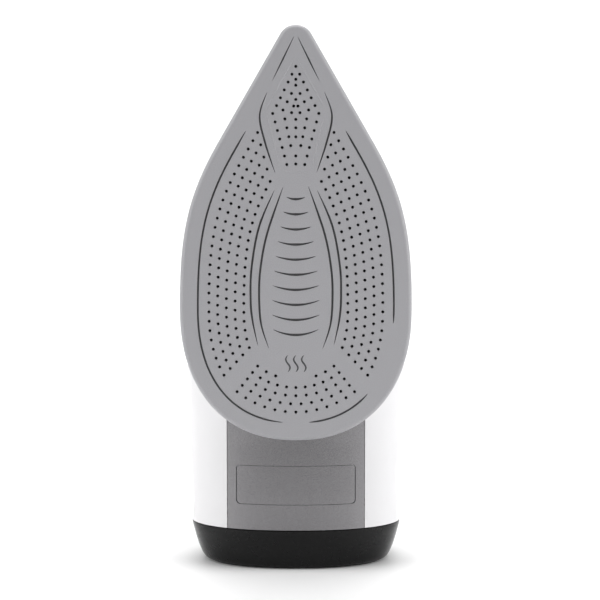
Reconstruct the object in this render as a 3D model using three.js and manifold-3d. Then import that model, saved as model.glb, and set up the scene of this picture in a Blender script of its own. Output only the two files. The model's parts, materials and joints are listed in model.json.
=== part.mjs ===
// A steam iron that stands on its heel, as an assembly of separate pieces.
//
// The exported group's frame is +Z up in millimetres, with the floor at z = 0, the soleplate facing -Y
// and the handle on the +Y side. Everything is modelled inside the group `iron`, whose own y is the
// height above the sole's working face and whose z is the distance from the heel along the iron.

import * as THREE from "three";
import { mergeVertices } from "three/addons/utils/BufferGeometryUtils.js";
import Module from "manifold-3d";

const wasm = await Module();
wasm.setup();

// ---------------------------------------------------------------- driving dimensions, in millimetres

const ironHeight = 150; // from the sole's working face to the top of the grip
const seam = 0.3; // clearance between neighbouring pieces
const wall = 2.2; // thickness of the moulded casings

const sole = {
  heelZ: 72, // height of the soleplate's round end above the floor
  length: 219,
  halfWidth: 61.2,
  heelLength: 70, // length of the round end, up to the widest point
  heelPower: 2.25, // exponent of the round end's superellipse
  tipRadius: 9.4,
  flankEnd: 157.7, // where the curved flank turns into the straight run to the tip
  flankHalfWidth: 40.7,
  flankSlope: 0.575, // half width lost per millimetre of length on the straight run
  thickness: 4.6,
  rim: 1.6, // size of the rounded edge
};

const body = {
  seamZ: 22, // top of the heel base
  tipZ: 286,
  noseRadius: 7,
  belowSole: 1.8, // how far the body stays inside the soleplate's outline
};

// Cross-sections of the body along its length: y of the face behind the sole, y of the widest level,
// y of the top, and the exponents of the two half superellipses.
const bodyStations = [
  { z: 0, front: 8.8, wide: 50, top: 112, frontPower: 2.2, topPower: 2.3 },
  { z: 22, front: 8.4, wide: 50, top: 113, frontPower: 2.2, topPower: 2.3 },
  { z: 42, front: 8, wide: 49, top: 112, frontPower: 2.2, topPower: 2.3 },
  { z: 54, front: 8, wide: 48, top: 103, frontPower: 2.2, topPower: 2.3 },
  { z: 66, front: 8, wide: 46, top: 87, frontPower: 2.2, topPower: 2.3 },
  { z: 78, front: 8, wide: 44, top: 77.4, frontPower: 2.3, topPower: 2.4 },
  { z: 90, front: 8, wide: 42, top: 75.4, frontPower: 2.5, topPower: 2.4 },
  { z: 130, front: 6, wide: 35, top: 73.5, frontPower: 3.4, topPower: 2.5 },
  { z: 160, front: 3, wide: 31, top: 72, frontPower: 4, topPower: 2.5 },
  { z: 190, front: 2, wide: 28, top: 69, frontPower: 4, topPower: 2.4 },
  { z: 215, front: 2, wide: 26, top: 62, frontPower: 4, topPower: 2.2 },
  { z: 240, front: 2, wide: 24, top: 50, frontPower: 4, topPower: 2.1 },
  { z: 262, front: 2, wide: 21, top: 36.5, frontPower: 4, topPower: 2 },
  { z: 278, front: 2, wide: 16, top: 25, frontPower: 4, topPower: 2 },
  { z: 286, front: 2, wide: 12, top: 17.5, frontPower: 4, topPower: 2 },
];

// The handle's centreline in the side view, with its half thickness and half width at each point.
const handleStations = [
  { z: 37, y: 92, thick: 14, half: 26 },
  { z: 42, y: 112, thick: 16, half: 24 },
  { z: 60, y: 129, thick: 15, half: 20 },
  { z: 98, y: 137, thick: 13, half: 17.5 },
  { z: 144, y: 135, thick: 13, half: 17.5 },
  { z: 180, y: 121, thick: 15.5, half: 20 },
  { z: 203, y: 99, thick: 18.5, half: 22.5 },
  { z: 221, y: 73, thick: 20, half: 23.5 },
  { z: 238, y: 48, thick: 17.5, half: 21 },
  { z: 254, y: 25, thick: 12, half: 14 },
];
const handlePower = 2.5;

// Places along the handle, counted in stations of the list above.
const along = {
  coverStart: 0.55,
  gland: 1.45,
  coverEnd: 4.75,
  buttons: 5.2,
  slider: 5.95,
  bezelEnd: 6.4,
  hinge: 6.62,
  doorEnd: 7.42,
  nozzle: 8.05,
};

const deckLine = [
  [10, 86], [40, 82], [62, 74], [84, 67], [120, 65], [190, 62], [215, 55], [240, 43.5], [278, 20],
];
const tankLine = [[110, 80], [112, 58], [122, 42], [145, 33], [190, 30], [235, 28.5], [266, 28]];
const tankNoseZ = 262;

// Levels of the sole assembly, as y above the working face.
const level = {
  castingLow: 4.9,
  castingHigh: 16,
  element: 11,
  chamberFloor: 8,
  lidLow: 16.3,
  lidHigh: 17.5,
  shieldHigh: 19,
  floorLow: 19.3,
  floorHigh: 21.5,
  skirtLow: 6.4,
  skirtHigh: 22,
};
const skirtInset = 2;

// Steam holes of the soleplate: columns that follow the outline.
const steamHoles = { radius: 0.8, sides: 4, firstInset: 15.4, pitch: 4.6, columns: 5 };

const dial = { z: 100, radius: 16.5, low: 77.2, high: 83.2 };
const rod = { x: 12.5, z: 209, radius: 1.5, low: 22.5, high: 98.5 };
const neck = { z: 229, outer: 9, inner: 7, low: 42.5, high: 70 };
const buttons = { x: 8.4, radius: 6.2 };
const slider = { halfSlot: 12.5, halfKnob: 3.6, travel: 16 };
const door = { halfWidth: 9 };
const gland = { radius: 9, bore: 4.6 };
const lamp = { z: 124, radius: 3 };
const label = { halfWidth: 32, low: 36, high: 57.5, depth: 0.6 };
const panelHalfWidth = 37;

// ---------------------------------------------------------------- colours

const paint = (color, roughness, metalness = 0) =>
  new THREE.MeshStandardMaterial({ color, roughness, metalness });
const look = {
  ceramic: paint(0xa3a3a8, 0.45, 0.1),
  white: paint(0xf4f4f4, 0.22),
  silver: paint(0xa9a7aa, 0.42, 0.4),
  black: paint(0x0c0c0d, 0.2),
  softBlack: paint(0x1b1b1c, 0.7),
  smoke: paint(0x5c6470, 0.15),
  aluminium: paint(0xb4b6b8, 0.5, 0.9),
  steel: paint(0x9a9c9e, 0.35, 1),
  silicone: paint(0xc8cdd0, 0.6),
  clear: paint(0xe8c07a, 0.2),
  accent: paint(0x7d7f84, 0.35, 0.5),
  wire: paint(0x7a3b1e, 0.6),
};

// ---------------------------------------------------------------- solids from geometry, and back

function toSolid(geometry) {
  const loose = geometry.index ? geometry.toNonIndexed() : geometry;
  const bare = new THREE.BufferGeometry().setAttribute("position", loose.getAttribute("position"));
  const merged = mergeVertices(bare, 1e-4);
  const triVerts = new Uint32Array(merged.index.array);
  const vertProperties = merged.attributes.position.array;
  return new wasm.Manifold(new wasm.Mesh({ numProp: 3, vertProperties, triVerts }));
}

function toGeometry(solid) {
  const { numProp, numVert, vertProperties, triVerts } = solid.getMesh();
  const positions = new Float32Array(numVert * 3);
  for (let i = 0; i < numVert; i++) {
    positions.set(vertProperties.subarray(i * numProp, i * numProp + 3), i * 3);
  }
  const geometry = new THREE.BufferGeometry();
  geometry.setAttribute("position", new THREE.BufferAttribute(positions, 3));
  geometry.setIndex(new THREE.BufferAttribute(triVerts, 1));
  geometry.computeVertexNormals();
  return geometry;
}

const joined = (...solids) => solids.reduce((a, b) => a.add(b));
const cutAway = (solid, ...tools) => tools.reduce((a, b) => a.subtract(b), solid);

// ---------------------------------------------------------------- curves

// Monotone cubic interpolation of stations[key] at z, so that a swelling section never overshoots.
function between(stations, key, z) {
  const n = stations.length;
  const at = Math.min(Math.max(z, stations[0].z), stations[n - 1].z);
  let i = 0;
  while (i < n - 2 && at > stations[i + 1].z) i++;
  const slope = (k) => (stations[k + 1][key] - stations[k][key]) / (stations[k + 1].z - stations[k].z);
  const tangent = (k) => {
    if (k === 0) return slope(0);
    if (k === n - 1) return slope(n - 2);
    const [a, b] = [slope(k - 1), slope(k)];
    return a * b <= 0 ? 0 : (2 * a * b) / (a + b);
  };
  const h = stations[i + 1].z - stations[i].z;
  const t = (at - stations[i].z) / h;
  return (
    stations[i][key] * (2 * t ** 3 - 3 * t ** 2 + 1) +
    h * tangent(i) * (t ** 3 - 2 * t ** 2 + t) +
    stations[i + 1][key] * (3 * t ** 2 - 2 * t ** 3) +
    h * tangent(i + 1) * (t ** 3 - t ** 2)
  );
}

const signedPower = (value, power) => Math.sign(value) * Math.abs(value) ** power;

// The right half of the sole's outline as [x, z] points, from the heel's middle to the tip.
function soleHalfOutline() {
  const points = [];
  const heelSteps = 48;
  for (let i = 0; i <= heelSteps; i++) {
    const angle = (i / heelSteps) * (Math.PI / 2);
    const x = sole.halfWidth * Math.sin(angle) ** (2 / sole.heelPower);
    const z = sole.heelLength * (1 - Math.cos(angle) ** (2 / sole.heelPower));
    points.push(new THREE.Vector2(x, z));
  }
  const flank = new THREE.CubicBezierCurve(
    new THREE.Vector2(sole.halfWidth, sole.heelLength),
    new THREE.Vector2(sole.halfWidth, sole.heelLength + 40),
    new THREE.Vector2(sole.flankHalfWidth + 28 * sole.flankSlope, sole.flankEnd - 28),
    new THREE.Vector2(sole.flankHalfWidth, sole.flankEnd),
  );
  points.push(...flank.getPoints(40).slice(1));
  const lean = Math.atan(sole.flankSlope);
  const tipCentre = sole.length - sole.tipRadius;
  const tipSteps = 16;
  for (let i = 0; i <= tipSteps; i++) {
    const angle = lean + (i / tipSteps) * (Math.PI / 2 - lean);
    const [x, z] = [sole.tipRadius * Math.cos(angle), sole.tipRadius * Math.sin(angle)];
    points.push(new THREE.Vector2(x, tipCentre + z));
  }
  return points;
}
const soleEdge = soleHalfOutline();

// The half outline moved inwards by inset and cut off at the middle plane, as evenly spaced points.
function insetHalfOutline(inset, count) {
  const moved = [];
  soleEdge.forEach((p, i) => {
    const before = soleEdge[Math.max(i - 1, 0)];
    const after = soleEdge[Math.min(i + 1, soleEdge.length - 1)];
    const along = after.clone().sub(before).normalize();
    if (i === 0) along.set(1, 0);
    if (i === soleEdge.length - 1) along.set(-1, 0);
    moved.push(new THREE.Vector2(p.x - along.y * inset, p.y + along.x * inset));
  });
  moved[0].x = 0;
  const crossing = moved.findIndex((p, i) => i > 0 && p.x < 1e-3);
  const kept = crossing < 0 ? moved : moved.slice(0, crossing);
  const last = kept[kept.length - 1];
  const beyond = crossing < 0 ? last : moved[crossing];
  const share = last.x === beyond.x ? 0 : last.x / (last.x - beyond.x);
  kept.push(new THREE.Vector2(0, last.y + (beyond.y - last.y) * share));
  return evenly(kept, count);
}

// count points spread evenly along a polyline.
function evenly(points, count) {
  const along = [0];
  for (let i = 1; i < points.length; i++) along.push(along[i - 1] + points[i].distanceTo(points[i - 1]));
  const total = along[along.length - 1];
  const result = [];
  let k = 0;
  for (let i = 0; i < count; i++) {
    const at = (total * i) / (count - 1);
    while (k < points.length - 2 && along[k + 1] < at) k++;
    const span = along[k + 1] - along[k] || 1;
    result.push(points[k].clone().lerp(points[k + 1], Math.min(1, (at - along[k]) / span)));
  }
  return result;
}

function soleHalfWidthAt(lengthwise) {
  for (let i = 1; i < soleEdge.length; i++) {
    const [a, b] = [soleEdge[i - 1], soleEdge[i]];
    if (lengthwise <= b.y) return a.x + ((b.x - a.x) * (lengthwise - a.y)) / (b.y - a.y);
  }
  return 0;
}

// The whole sole outline moved inwards by inset, as a THREE.Shape in x and z.
function soleShape(inset, count = 26) {
  const half = insetHalfOutline(inset, count);
  const left = half.slice(1, -1).reverse().map((p) => new THREE.Vector2(-p.x, p.y));
  return new THREE.Shape([...half, ...left].map((p) => new THREE.Vector2(p.x, p.y + sole.heelZ)));
}

// ---------------------------------------------------------------- basic solids, in the iron's frame

// A shape in x and z, as a plate from y = low to y = high.
function plate(shape, low, high, bevel = 0) {
  const geometry = new THREE.ExtrudeGeometry(shape, {
    depth: high - low - 2 * bevel,
    bevelEnabled: bevel > 0,
    bevelThickness: bevel,
    bevelSize: bevel,
    bevelOffset: -bevel,
    bevelSegments: 2,
    curveSegments: 8,
  });
  return toSolid(geometry.rotateX(Math.PI / 2).translate(0, high - bevel, 0));
}

// A closed outline in z and y, as a prism across the width.
function prism(points, halfWidth) {
  const shape = new THREE.Shape(points.map(([z, y]) => new THREE.Vector2(z, y)));
  const geometry = new THREE.ExtrudeGeometry(shape, { depth: 2 * halfWidth, bevelEnabled: false });
  return toSolid(geometry.rotateY(-Math.PI / 2).translate(halfWidth, 0, 0));
}

function block(x0, x1, y0, y1, z0, z1) {
  const geometry = new THREE.BoxGeometry(x1 - x0, y1 - y0, z1 - z0);
  return toSolid(geometry.translate((x0 + x1) / 2, (y0 + y1) / 2, (z0 + z1) / 2));
}

// A round bar along y, from y0 to y1.
function post(x, z, radius, y0, y1, sides = 20) {
  const geometry = new THREE.CylinderGeometry(radius, radius, y1 - y0, sides);
  return toSolid(geometry.translate(x, (y0 + y1) / 2, z));
}

// A tube or rod along a smooth route through points.
function tube(points, radius, steps, sides = 8) {
  const stops = points.map((p) => new THREE.Vector3(...p));
  const route = new THREE.CatmullRomCurve3(stops, false, "centripetal");
  const section = new THREE.Shape();
  for (let i = 0; i < sides; i++) {
    const angle = ((i + 0.5) / sides) * 2 * Math.PI;
    section[i ? "lineTo" : "moveTo"](radius * Math.cos(angle), radius * Math.sin(angle));
  }
  return new THREE.ExtrudeGeometry(section, { steps, extrudePath: route, bevelEnabled: false });
}

// A closed skin over rings of points, all with the same count, with a flat cap at each end.
function loft(rings) {
  const n = rings[0].length;
  const positions = [];
  const centre = (ring) => ring.reduce((a, p) => a.add(p), new THREE.Vector3()).divideScalar(n);
  const add = (a, b, c) => positions.push(...a.toArray(), ...b.toArray(), ...c.toArray());
  for (let k = 0; k < rings.length - 1; k++) {
    for (let i = 0; i < n; i++) {
      const j = (i + 1) % n;
      add(rings[k][i], rings[k][j], rings[k + 1][j]);
      add(rings[k][i], rings[k + 1][j], rings[k + 1][i]);
    }
  }
  const [first, last] = [rings[0], rings[rings.length - 1]];
  for (let i = 0; i < n; i++) {
    const j = (i + 1) % n;
    add(centre(first), first[j], first[i]);
    add(centre(last), last[i], last[j]);
  }
  const geometry = new THREE.BufferGeometry();
  geometry.setAttribute("position", new THREE.Float32BufferAttribute(positions, 3));
  return toSolid(geometry);
}

// ---------------------------------------------------------------- the body's and the handle's outer form

const ringPoints = 20;

function bodyHalfWidth(z) {
  const rearWidth = 57.2 + (z - body.seamZ) * 0.0183;
  const width = z < 142 ? rearWidth : soleHalfWidthAt(z - sole.heelZ) - body.belowSole;
  const noseStart = body.tipZ - body.noseRadius;
  const over = Math.max(0, (z - noseStart) / (body.noseRadius + 0.4));
  return width * Math.sqrt(1 - over * over);
}

function bodyRing(z, inset, scale = 1) {
  const at = (key) => between(bodyStations, key, z);
  const [front, wide, top] = [at("front"), at("wide"), at("top")];
  const halfWidth = bodyHalfWidth(z);
  const ring = [];
  for (let i = 0; i < ringPoints; i++) {
    const angle = (i / ringPoints) * 2 * Math.PI;
    const [c, s] = [Math.cos(angle), Math.sin(angle)];
    const power = 2 / (s < 0 ? at("frontPower") : at("topPower"));
    const reach = s < 0 ? wide - front : top - wide;
    const x = Math.max(halfWidth - inset, 0.4) * signedPower(c, power);
    const y = wide + Math.max(reach - inset, 0.4) * signedPower(s, power);
    ring.push(new THREE.Vector3(x * scale, 60 + (y - 60) * scale, z));
  }
  return ring;
}

const bodyLevels = [22.3, 36, 46, 54, 62, 72, 86, 110, 142, 175, 205, 232, 252, 268, 278, 284, 286];

function bodyForm(inset, fromZ = body.seamZ + seam) {
  const levels = bodyLevels.map((z, i) => (i === 0 ? fromZ : z)).filter((z) => z <= body.tipZ - inset);
  return loft(levels.map((z) => bodyRing(z, inset)));
}

const handlePath = new THREE.SplineCurve(handleStations.map((s) => new THREE.Vector2(s.z, s.y)));
const handleSize = new THREE.SplineCurve(handleStations.map((s) => new THREE.Vector2(s.thick, s.half)));
const handleEnd = handleStations.length - 1;

// A point of the side view at a station of the handle, out from its centreline by `out`.
function besideHandle(station, out) {
  const share = Math.min(Math.max(station / handleEnd, 0), 1);
  const tangent = handlePath.getTangent(share);
  const beyond = (station / handleEnd - share) * 200;
  const centre = handlePath.getPoint(share).addScaledVector(tangent, beyond);
  return [centre.x - tangent.y * out, centre.y + tangent.x * out];
}

const handleThickness = (station) => handleSize.getPoint(station / handleEnd).x;

function handleForm(inset) {
  const steps = 14;
  const sides = 14;
  const rings = [];
  for (let k = 0; k <= steps; k++) {
    const station = (k / steps) * handleEnd;
    const size = handleSize.getPoint(station / handleEnd);
    const ring = [];
    for (let i = 0; i < sides; i++) {
      const angle = (i / sides) * 2 * Math.PI;
      const across = (size.y - inset) * signedPower(Math.cos(angle), 2 / handlePower);
      const rise = (size.x - inset) * signedPower(Math.sin(angle), 2 / handlePower);
      const [z, y] = besideHandle(station, rise);
      ring.push(new THREE.Vector3(across, y, z));
    }
    rings.push(ring);
  }
  return loft(rings);
}

// The part of space on the outer side of the handle's centreline, between two stations. Its corners lie
// on one grid of stations, so that neighbouring strips follow the same line.
function handleStrip(from, to, low) {
  const grid = [from];
  for (let station = Math.ceil(from / 0.4 + 0.3) * 0.4; station < to - 0.1; station += 0.4) {
    grid.push(station);
  }
  grid.push(to);
  const inner = grid.map((station) => besideHandle(station, low));
  const outer = grid.map((station) => besideHandle(station, 24)).reverse();
  return prism([...inner, ...outer], 60);
}

const smoothLine = (points, count) =>
  new THREE.SplineCurve(points.map(([z, y]) => new THREE.Vector2(z, y)))
    .getPoints(count)
    .map((p) => [p.x, p.y]);

function shifted(points, dz, dy) {
  return points.map(([z, y]) => [z + dz, y + dy]);
}

const deckCurve = smoothLine(deckLine, 22);
const tankCurve = smoothLine(tankLine, 16);

const aboveDeck = (gap) =>
  prism([...shifted(deckCurve, 0, gap), [300, 24], [300, 200], [0, 200], [0, 86]], 100);

// The tank's share of the body: between the tank line below and the deck line above.
function tankZone(grow) {
  const low = shifted(tankCurve, -grow, -grow).filter(([z]) => z < tankNoseZ + grow - 1);
  const far = tankNoseZ + grow;
  const zone = prism([...low, [far, 28 - grow], [far, 90], [110 - grow, 90]], 100);
  return cutAway(zone, aboveDeck(grow - seam / 2));
}

// The skirt that follows the sole's outline just behind the soleplate.
function skirt(grow = 0) {
  const full = plate(soleShape(skirtInset - grow, 24), level.skirtLow - grow, level.skirtHigh);
  return cutAway(full, prism([[240, 36], [268, 21.5], [292, 11], [292, 60], [240, 60]], 80));
}
const heaterEndZ = 266; // the heater and its pocket stop here, short of the pointed nose

const bareBody = bodyForm(0);
const outerBody = joined(bareBody, skirt());
const innerBody = bodyForm(wall, body.seamZ - 4);
const outerHandle = handleForm(0);
const innerHandle = handleForm(wall);

// ---------------------------------------------------------------- sole assembly

// Holes of one soleplate half, as [x, z] points with x >= 0, measured from the sole's heel.
function steamHolePoints() {
  const points = [];
  const onInset = (inset, test) => {
    const curve = insetHalfOutline(inset, 600);
    return [curve, curve.findIndex(test)];
  };
  for (let j = 0; j < steamHoles.columns; j++) {
    const inset = steamHoles.firstInset + steamHoles.pitch * j;
    // The side lobe runs along the inset outline between two slanting lines.
    const lobeStart = (p) => p.y > 35.4 + 1.09 * (37.4 - p.x);
    const lobeEnd = (p) => p.y > 163.3 - 3.9 * (20.2 - p.x);
    const [curve, low] = onInset(inset, lobeStart);
    const high = curve.findIndex(lobeEnd);
    const count = 28 - 2 * j;
    evenly(curve.slice(low, high + 1), count).forEach((p) => points.push([p.x, p.y]));
    // The rear fan is made of arcs round one centre.
    const rearCounts = [13, 12, 11, 11, 9];
    const radius = 49.7 - 4.36 * j;
    const n = rearCounts[j];
    for (let k = 0; k < n; k++) {
      const angle = ((k / (n - 1)) * 2 - 1) * THREE.MathUtils.degToRad(38.6);
      const blank = j === 4 && Math.abs(k - (n - 1) / 2) < 1.5;
      if (!blank && angle >= -1e-9) points.push([radius * Math.sin(angle), 65 - radius * Math.cos(angle)]);
    }
  }
  // The kite at the tip: rings inside one another.
  const kite = (top, wideX, wideZ, bottomX, bottomZ, upper, lower) => {
    for (let k = 0; k <= upper; k++) points.push([(wideX * k) / upper, top + ((wideZ - top) * k) / upper]);
    for (let k = 1; k <= lower; k++) {
      const share = k / lower;
      points.push([wideX + (bottomX - wideX) * share, wideZ + (bottomZ - wideZ) * share]);
    }
  };
  kite(197.3, 12.06, 172.8, 4.7, 146.1, 6, 6);
  kite(187.5, 6.7, 174.6, 2.65, 156, 3, 4);
  kite(180.1, 2.2, 173.2, 0, 169.7, 2, 1);
  [190.6, 165.3, 160.6, 150.6, 146.4].forEach((z) => points.push([0, z]));
  return points;
}

function soleplate() {
  const steamed = steamHolePoints().flatMap(([x, z]) => (x > 0.05 ? [[x, z], [-x, z]] : [[0, z]]));
  const holes = steamed.map(([x, z]) => {
    const geometry = new THREE.CylinderGeometry(steamHoles.radius, steamHoles.radius, 12, steamHoles.sides);
    return toSolid(geometry.translate(x, 0, z + sole.heelZ));
  });
  return cutAway(plate(soleShape(0, 26), 0, sole.thickness, sole.rim), wasm.Manifold.union(holes));
}

const elementRoute = (inset) => {
  const half = insetHalfOutline(inset, 60).filter((p) => p.y > 30 && p.y < 168);
  const picked = half.filter((p, i) => i % 6 === 0).map((p) => [p.x, level.element, p.y + sole.heelZ]);
  const rise = [
    [31, 27, 93],
    [31, 19, 93],
    [34, 12, 96.5],
  ];
  const right = [...rise, ...picked.slice(1), [8.5, level.element, 245]];
  const left = right.map(([x, y, z]) => [-x, y, z]).reverse();
  return [...right, [0, level.element, 249], ...left];
};
const elementPath = elementRoute(15.5);
const elementSteps = 30;

const upTo = (z, solid) => cutAway(solid, block(-80, 80, -50, 150, z, 320));

function heaterCasting() {
  const chamberPlan = plate(soleShape(24.5, 12), level.chamberFloor, 30);
  const chamber = cutAway(chamberPlan, block(-80, 80, 0, 40, 0, 120));
  const channels = cutAway(
    plate(soleShape(12.5, 14), 0, 6.4),
    plate(soleShape(37, 10), 0, 7),
  );
  const outlets = [[0, 216], [-27, 150], [27, 150]].map(([x, z]) => post(x, z, 2.5, 0, 12, 8));
  const threads = soleScrewPlaces.map(([x, z]) => post(x, z, 1.9, 9, 30, 8));
  const tunnel = toSolid(tube(elementPath, 3.6, elementSteps));
  const billet = upTo(heaterEndZ - 3, plate(soleShape(7.6, 18), level.castingLow, level.castingHigh));
  return cutAway(billet, chamber, channels, ...outlets, ...threads, tunnel);
}

const soleScrewPlaces = [[0, 260.3], [-19, 87], [19, 87]];

function chamberLid() {
  const lid = cutAway(plate(soleShape(21, 14), level.lidLow, level.lidHigh), block(-80, 80, 0, 40, 0, 116));
  return cutAway(lid, post(rod.x, rod.z, 2.6, 0, 40, 12), post(-12, 130, 2.4, 0, 40, 12));
}

function heatShield() {
  const cup = upTo(heaterEndZ - 0.5, plate(soleShape(5.1, 18), level.castingLow, level.shieldHigh));
  const skin = cutAway(cup, upTo(heaterEndZ - 2.5, plate(soleShape(7.1, 18), 0, level.castingHigh + 1.8)));
  const leads = [-31, 31].map((x) => post(x, 93, 4.6, 0, 40, 12));
  const screws = soleScrewPlaces.map(([x, z]) => post(x, z, 2.4, 0, 40, 12));
  return cutAway(skin, plate(soleShape(17, 14), 0, 40), ...leads, ...screws);
}

// ---------------------------------------------------------------- casings

const pocket = joined(
  upTo(heaterEndZ, plate(soleShape(4.8, 18), -20, level.floorLow - 0.2)),
  plate(soleShape(-1.5, 18), -20, level.skirtLow),
);
const heelBosses = [[-38, 50], [38, 50]];

const barAlongZ = (x, y, radius, z0, z1, sides = 12) =>
  toSolid(new THREE.CylinderGeometry(radius, radius, z1 - z0, sides).rotateX(Math.PI / 2)
    .translate(x, y, (z0 + z1) / 2));

// The rear panel's share of the body's skin, widened by gap.
function panelZone(gap) {
  const half = panelHalfWidth - seam + gap;
  return cutAway(block(-half, half, -5, 30, 20, 100), skirt(seam - gap));
}

function mainShell() {
  const floor = plate(soleShape(3, 18), -20, level.floorHigh);
  const panelOpening = cutAway(bodyForm(-1), bodyForm(wall + seam)).intersect(panelZone(seam));
  const cavity = upTo(heaterEndZ + 4, cutAway(innerBody, floor));
  let shell = cutAway(outerBody, aboveDeck(-seam / 2), tankZone(seam), cavity, pocket, panelOpening);
  for (const [x, y] of heelBosses) {
    const edge = Math.sign(x) * 56.2;
    const rib = block(Math.min(x, edge), Math.max(x, edge), y - 1.5, y + 1.5, 22.3, 38.3);
    shell = joined(shell, barAlongZ(x, y, 5, 22.3, 38.3), rib).subtract(barAlongZ(x, y, 2.2, 15, 45, 8));
  }
  const openings = [
    block(-29, 29, 18, 23, 90, 112),
    post(-31, 93, 5, 15, 25, 12),
    post(31, 93, 5, 15, 25, 12),
    post(rod.x, rod.z, 6.2, 15, 25, 12),
    post(-12, 130, 3.2, 15, 25, 8),
    ...soleScrewPlaces.map(([x, z]) => post(x, z, 2.1, 15, 25, 8)),
  ];
  return cutAway(shell, ...openings);
}

function rearPanel() {
  const skin = cutAway(bareBody, bodyForm(wall, 10)).intersect(panelZone(0));
  const frame = block(-label.halfWidth, label.halfWidth, -5, 30, label.low, label.high);
  return cutAway(skin, pocket, cutAway(frame, bodyForm(label.depth, 10)));
}

// The heel base: the body's own section, drawn in towards the floor, open at the top.
const heelProfile = [[1.2, 0.865], [2.4, 0.888], [6, 0.925], [12, 0.957], [22, 1]];
const heelRing = (z, scale) => bodyRing(22, 0, scale).map((p) => p.setZ(z));

function heelBase() {
  const outer = loft(heelProfile.map(([z, scale]) => heelRing(z, scale)));
  const inner = loft([[5, 0.865], [12, 0.925], [26, 0.96]].map(([z, scale]) => heelRing(z, scale)));
  let base = cutAway(outer, inner);
  for (const [x, y] of heelBosses) base = joined(base, barAlongZ(x, y, 6, 3.5, 21.8));
  const bores = heelBosses.flatMap(([x, y]) => [barAlongZ(x, y, 2.4, -5, 40), barAlongZ(x, y, 4.3, -5, 8)]);
  return cutAway(base, ...bores, heelPad(seam));
}

// The flat pad the iron stands on.
function heelPad(grow = 0) {
  const scale = 0.835 + grow / 58;
  const pad = loft([heelRing(-9 * grow, scale), heelRing(2.4 + grow, scale)]);
  return grow ? pad : cutAway(pad, ...heelBosses.map(([x, y]) => barAlongZ(x, y, 4.8, -5, 8)));
}

function waterTank() {
  const skin = cutAway(bareBody.intersect(tankZone(0)), bodyForm(2).intersect(tankZone(-2)));
  const fittings = [
    post(0, neck.z, neck.outer, neck.low, neck.high, 16),
    post(rod.x, rod.z, 4, 29.5, 55, 12),
  ];
  const bores = [post(0, neck.z, neck.inner, 38, 90, 16), post(rod.x, rod.z, 2.4, 10, 90, 12)];
  return cutAway(joined(skin, ...fittings), ...bores);
}

// A fitting on the handle: its station and how far out from the centreline its own origin lies. Its own y
// axis then points outwards and its x axis across the handle.
function seatOnHandle(station, out) {
  const [z, y] = besideHandle(station, out);
  const [z1, y1] = besideHandle(station, out + 1);
  return { z, y, angle: Math.atan2(z1 - z, y1 - y) };
}
const seats = {
  buttons: seatOnHandle(along.buttons, handleThickness(along.buttons)),
  slider: seatOnHandle(along.slider, handleThickness(along.slider)),
  hinge: seatOnHandle(along.hinge, handleThickness(along.hinge) - 2.9),
  nozzle: seatOnHandle(along.nozzle, handleThickness(along.nozzle)),
  gland: seatOnHandle(along.gland, handleThickness(along.gland) - 4),
};

// A geometry made along its own y, turned and moved onto a seat, x across.
const seated = (geometry, seat, x = 0) =>
  toSolid(geometry.rotateX(seat.angle).translate(x, seat.y, seat.z));

// A point from a seat: x across, `out` outwards and `ahead` towards the nose.
const fromSeat = (seat, x, out, ahead) => [
  x,
  seat.y + out * Math.cos(seat.angle) - ahead * Math.sin(seat.angle),
  seat.z + out * Math.sin(seat.angle) + ahead * Math.cos(seat.angle),
];

// A round bar along a seat's outward direction, from `low` to `high`.
const seatedBar = (seat, x, radius, low, high, sides = 14) => {
  const bar = new THREE.CylinderGeometry(radius, radius, high - low, sides);
  return seated(bar.translate(0, (low + high) / 2, 0), seat, x);
};

const barAcross = (seat, radius, halfLength, sides = 12) =>
  seated(new THREE.CylinderGeometry(radius, radius, 2 * halfLength, sides).rotateZ(Math.PI / 2), seat);

const handleUnion = joined(outerHandle, outerBody.intersect(aboveDeck(seam / 2)));
const handleHollow = joined(innerHandle, innerBody.intersect(aboveDeck(-3)));
const coverForm = (from, to, gap) => handleForm(-gap).intersect(handleStrip(from, to, 1 - gap));

function doorZone(gap) {
  const reach = 2.7 + gap;
  const half = door.halfWidth + gap;
  const width = block(-half, half, 40, 150, 150, 300);
  const strip = handleStrip(along.hinge, along.doorEnd + gap / 26, 5).intersect(width);
  return joined(strip, barAcross(seats.hinge, reach, half, 14));
}

function handleHousing() {
  const deckFloor = prism(
    [...shifted(deckCurve, 0, seam / 2), [300, 24], [300, -50], [-20, -50], [-20, 86]],
    100,
  );
  const shell = cutAway(
    handleUnion,
    handleHollow,
    deckFloor,
    coverForm(along.coverStart, along.bezelEnd, seam),
    doorZone(seam),
    block(-80, 80, 0, 200, -20, body.seamZ + seam),
  );
  return cutAway(
    shell,
    barAcross(seats.hinge, 1, door.halfWidth + 2.6, 8),
    seatedBar(seats.nozzle, 0, 4.6, -12, 6),
    post(0, dial.z, 4, 60, 90, 12),
    post(rod.x, rod.z, 2.6, 50, 80, 10),
    post(0, lamp.z, lamp.radius + seam, 60, 90, 12),
  );
}

function gripCover() {
  const room = seated(new THREE.SphereGeometry(gland.radius + 0.5, 14, 8), seats.gland);
  return cutAway(coverForm(along.coverStart, along.coverEnd - 0.008, 0), innerHandle, room);
}

function buttonBezel() {
  const cover = coverForm(along.coverEnd, along.bezelEnd - 0.012, 0);
  const wells = [-1, 1].map((side) =>
    seatedBar(seats.buttons, side * buttons.x, buttons.radius + seam, -9, 6, 16));
  const slot = seated(new THREE.BoxGeometry(2 * slider.halfSlot, 20, 5), seats.slider);
  return cutAway(cover, innerHandle, ...wells, slot);
}

function fillerDoor() {
  const leaf = cutAway(outerHandle.intersect(doorZone(0)), handleForm(2));
  const barrel = barAcross(seats.hinge, 2.7, door.halfWidth, 12);
  return cutAway(joined(leaf, barrel), barAcross(seats.hinge, 1.1, 40, 8));
}

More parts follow.
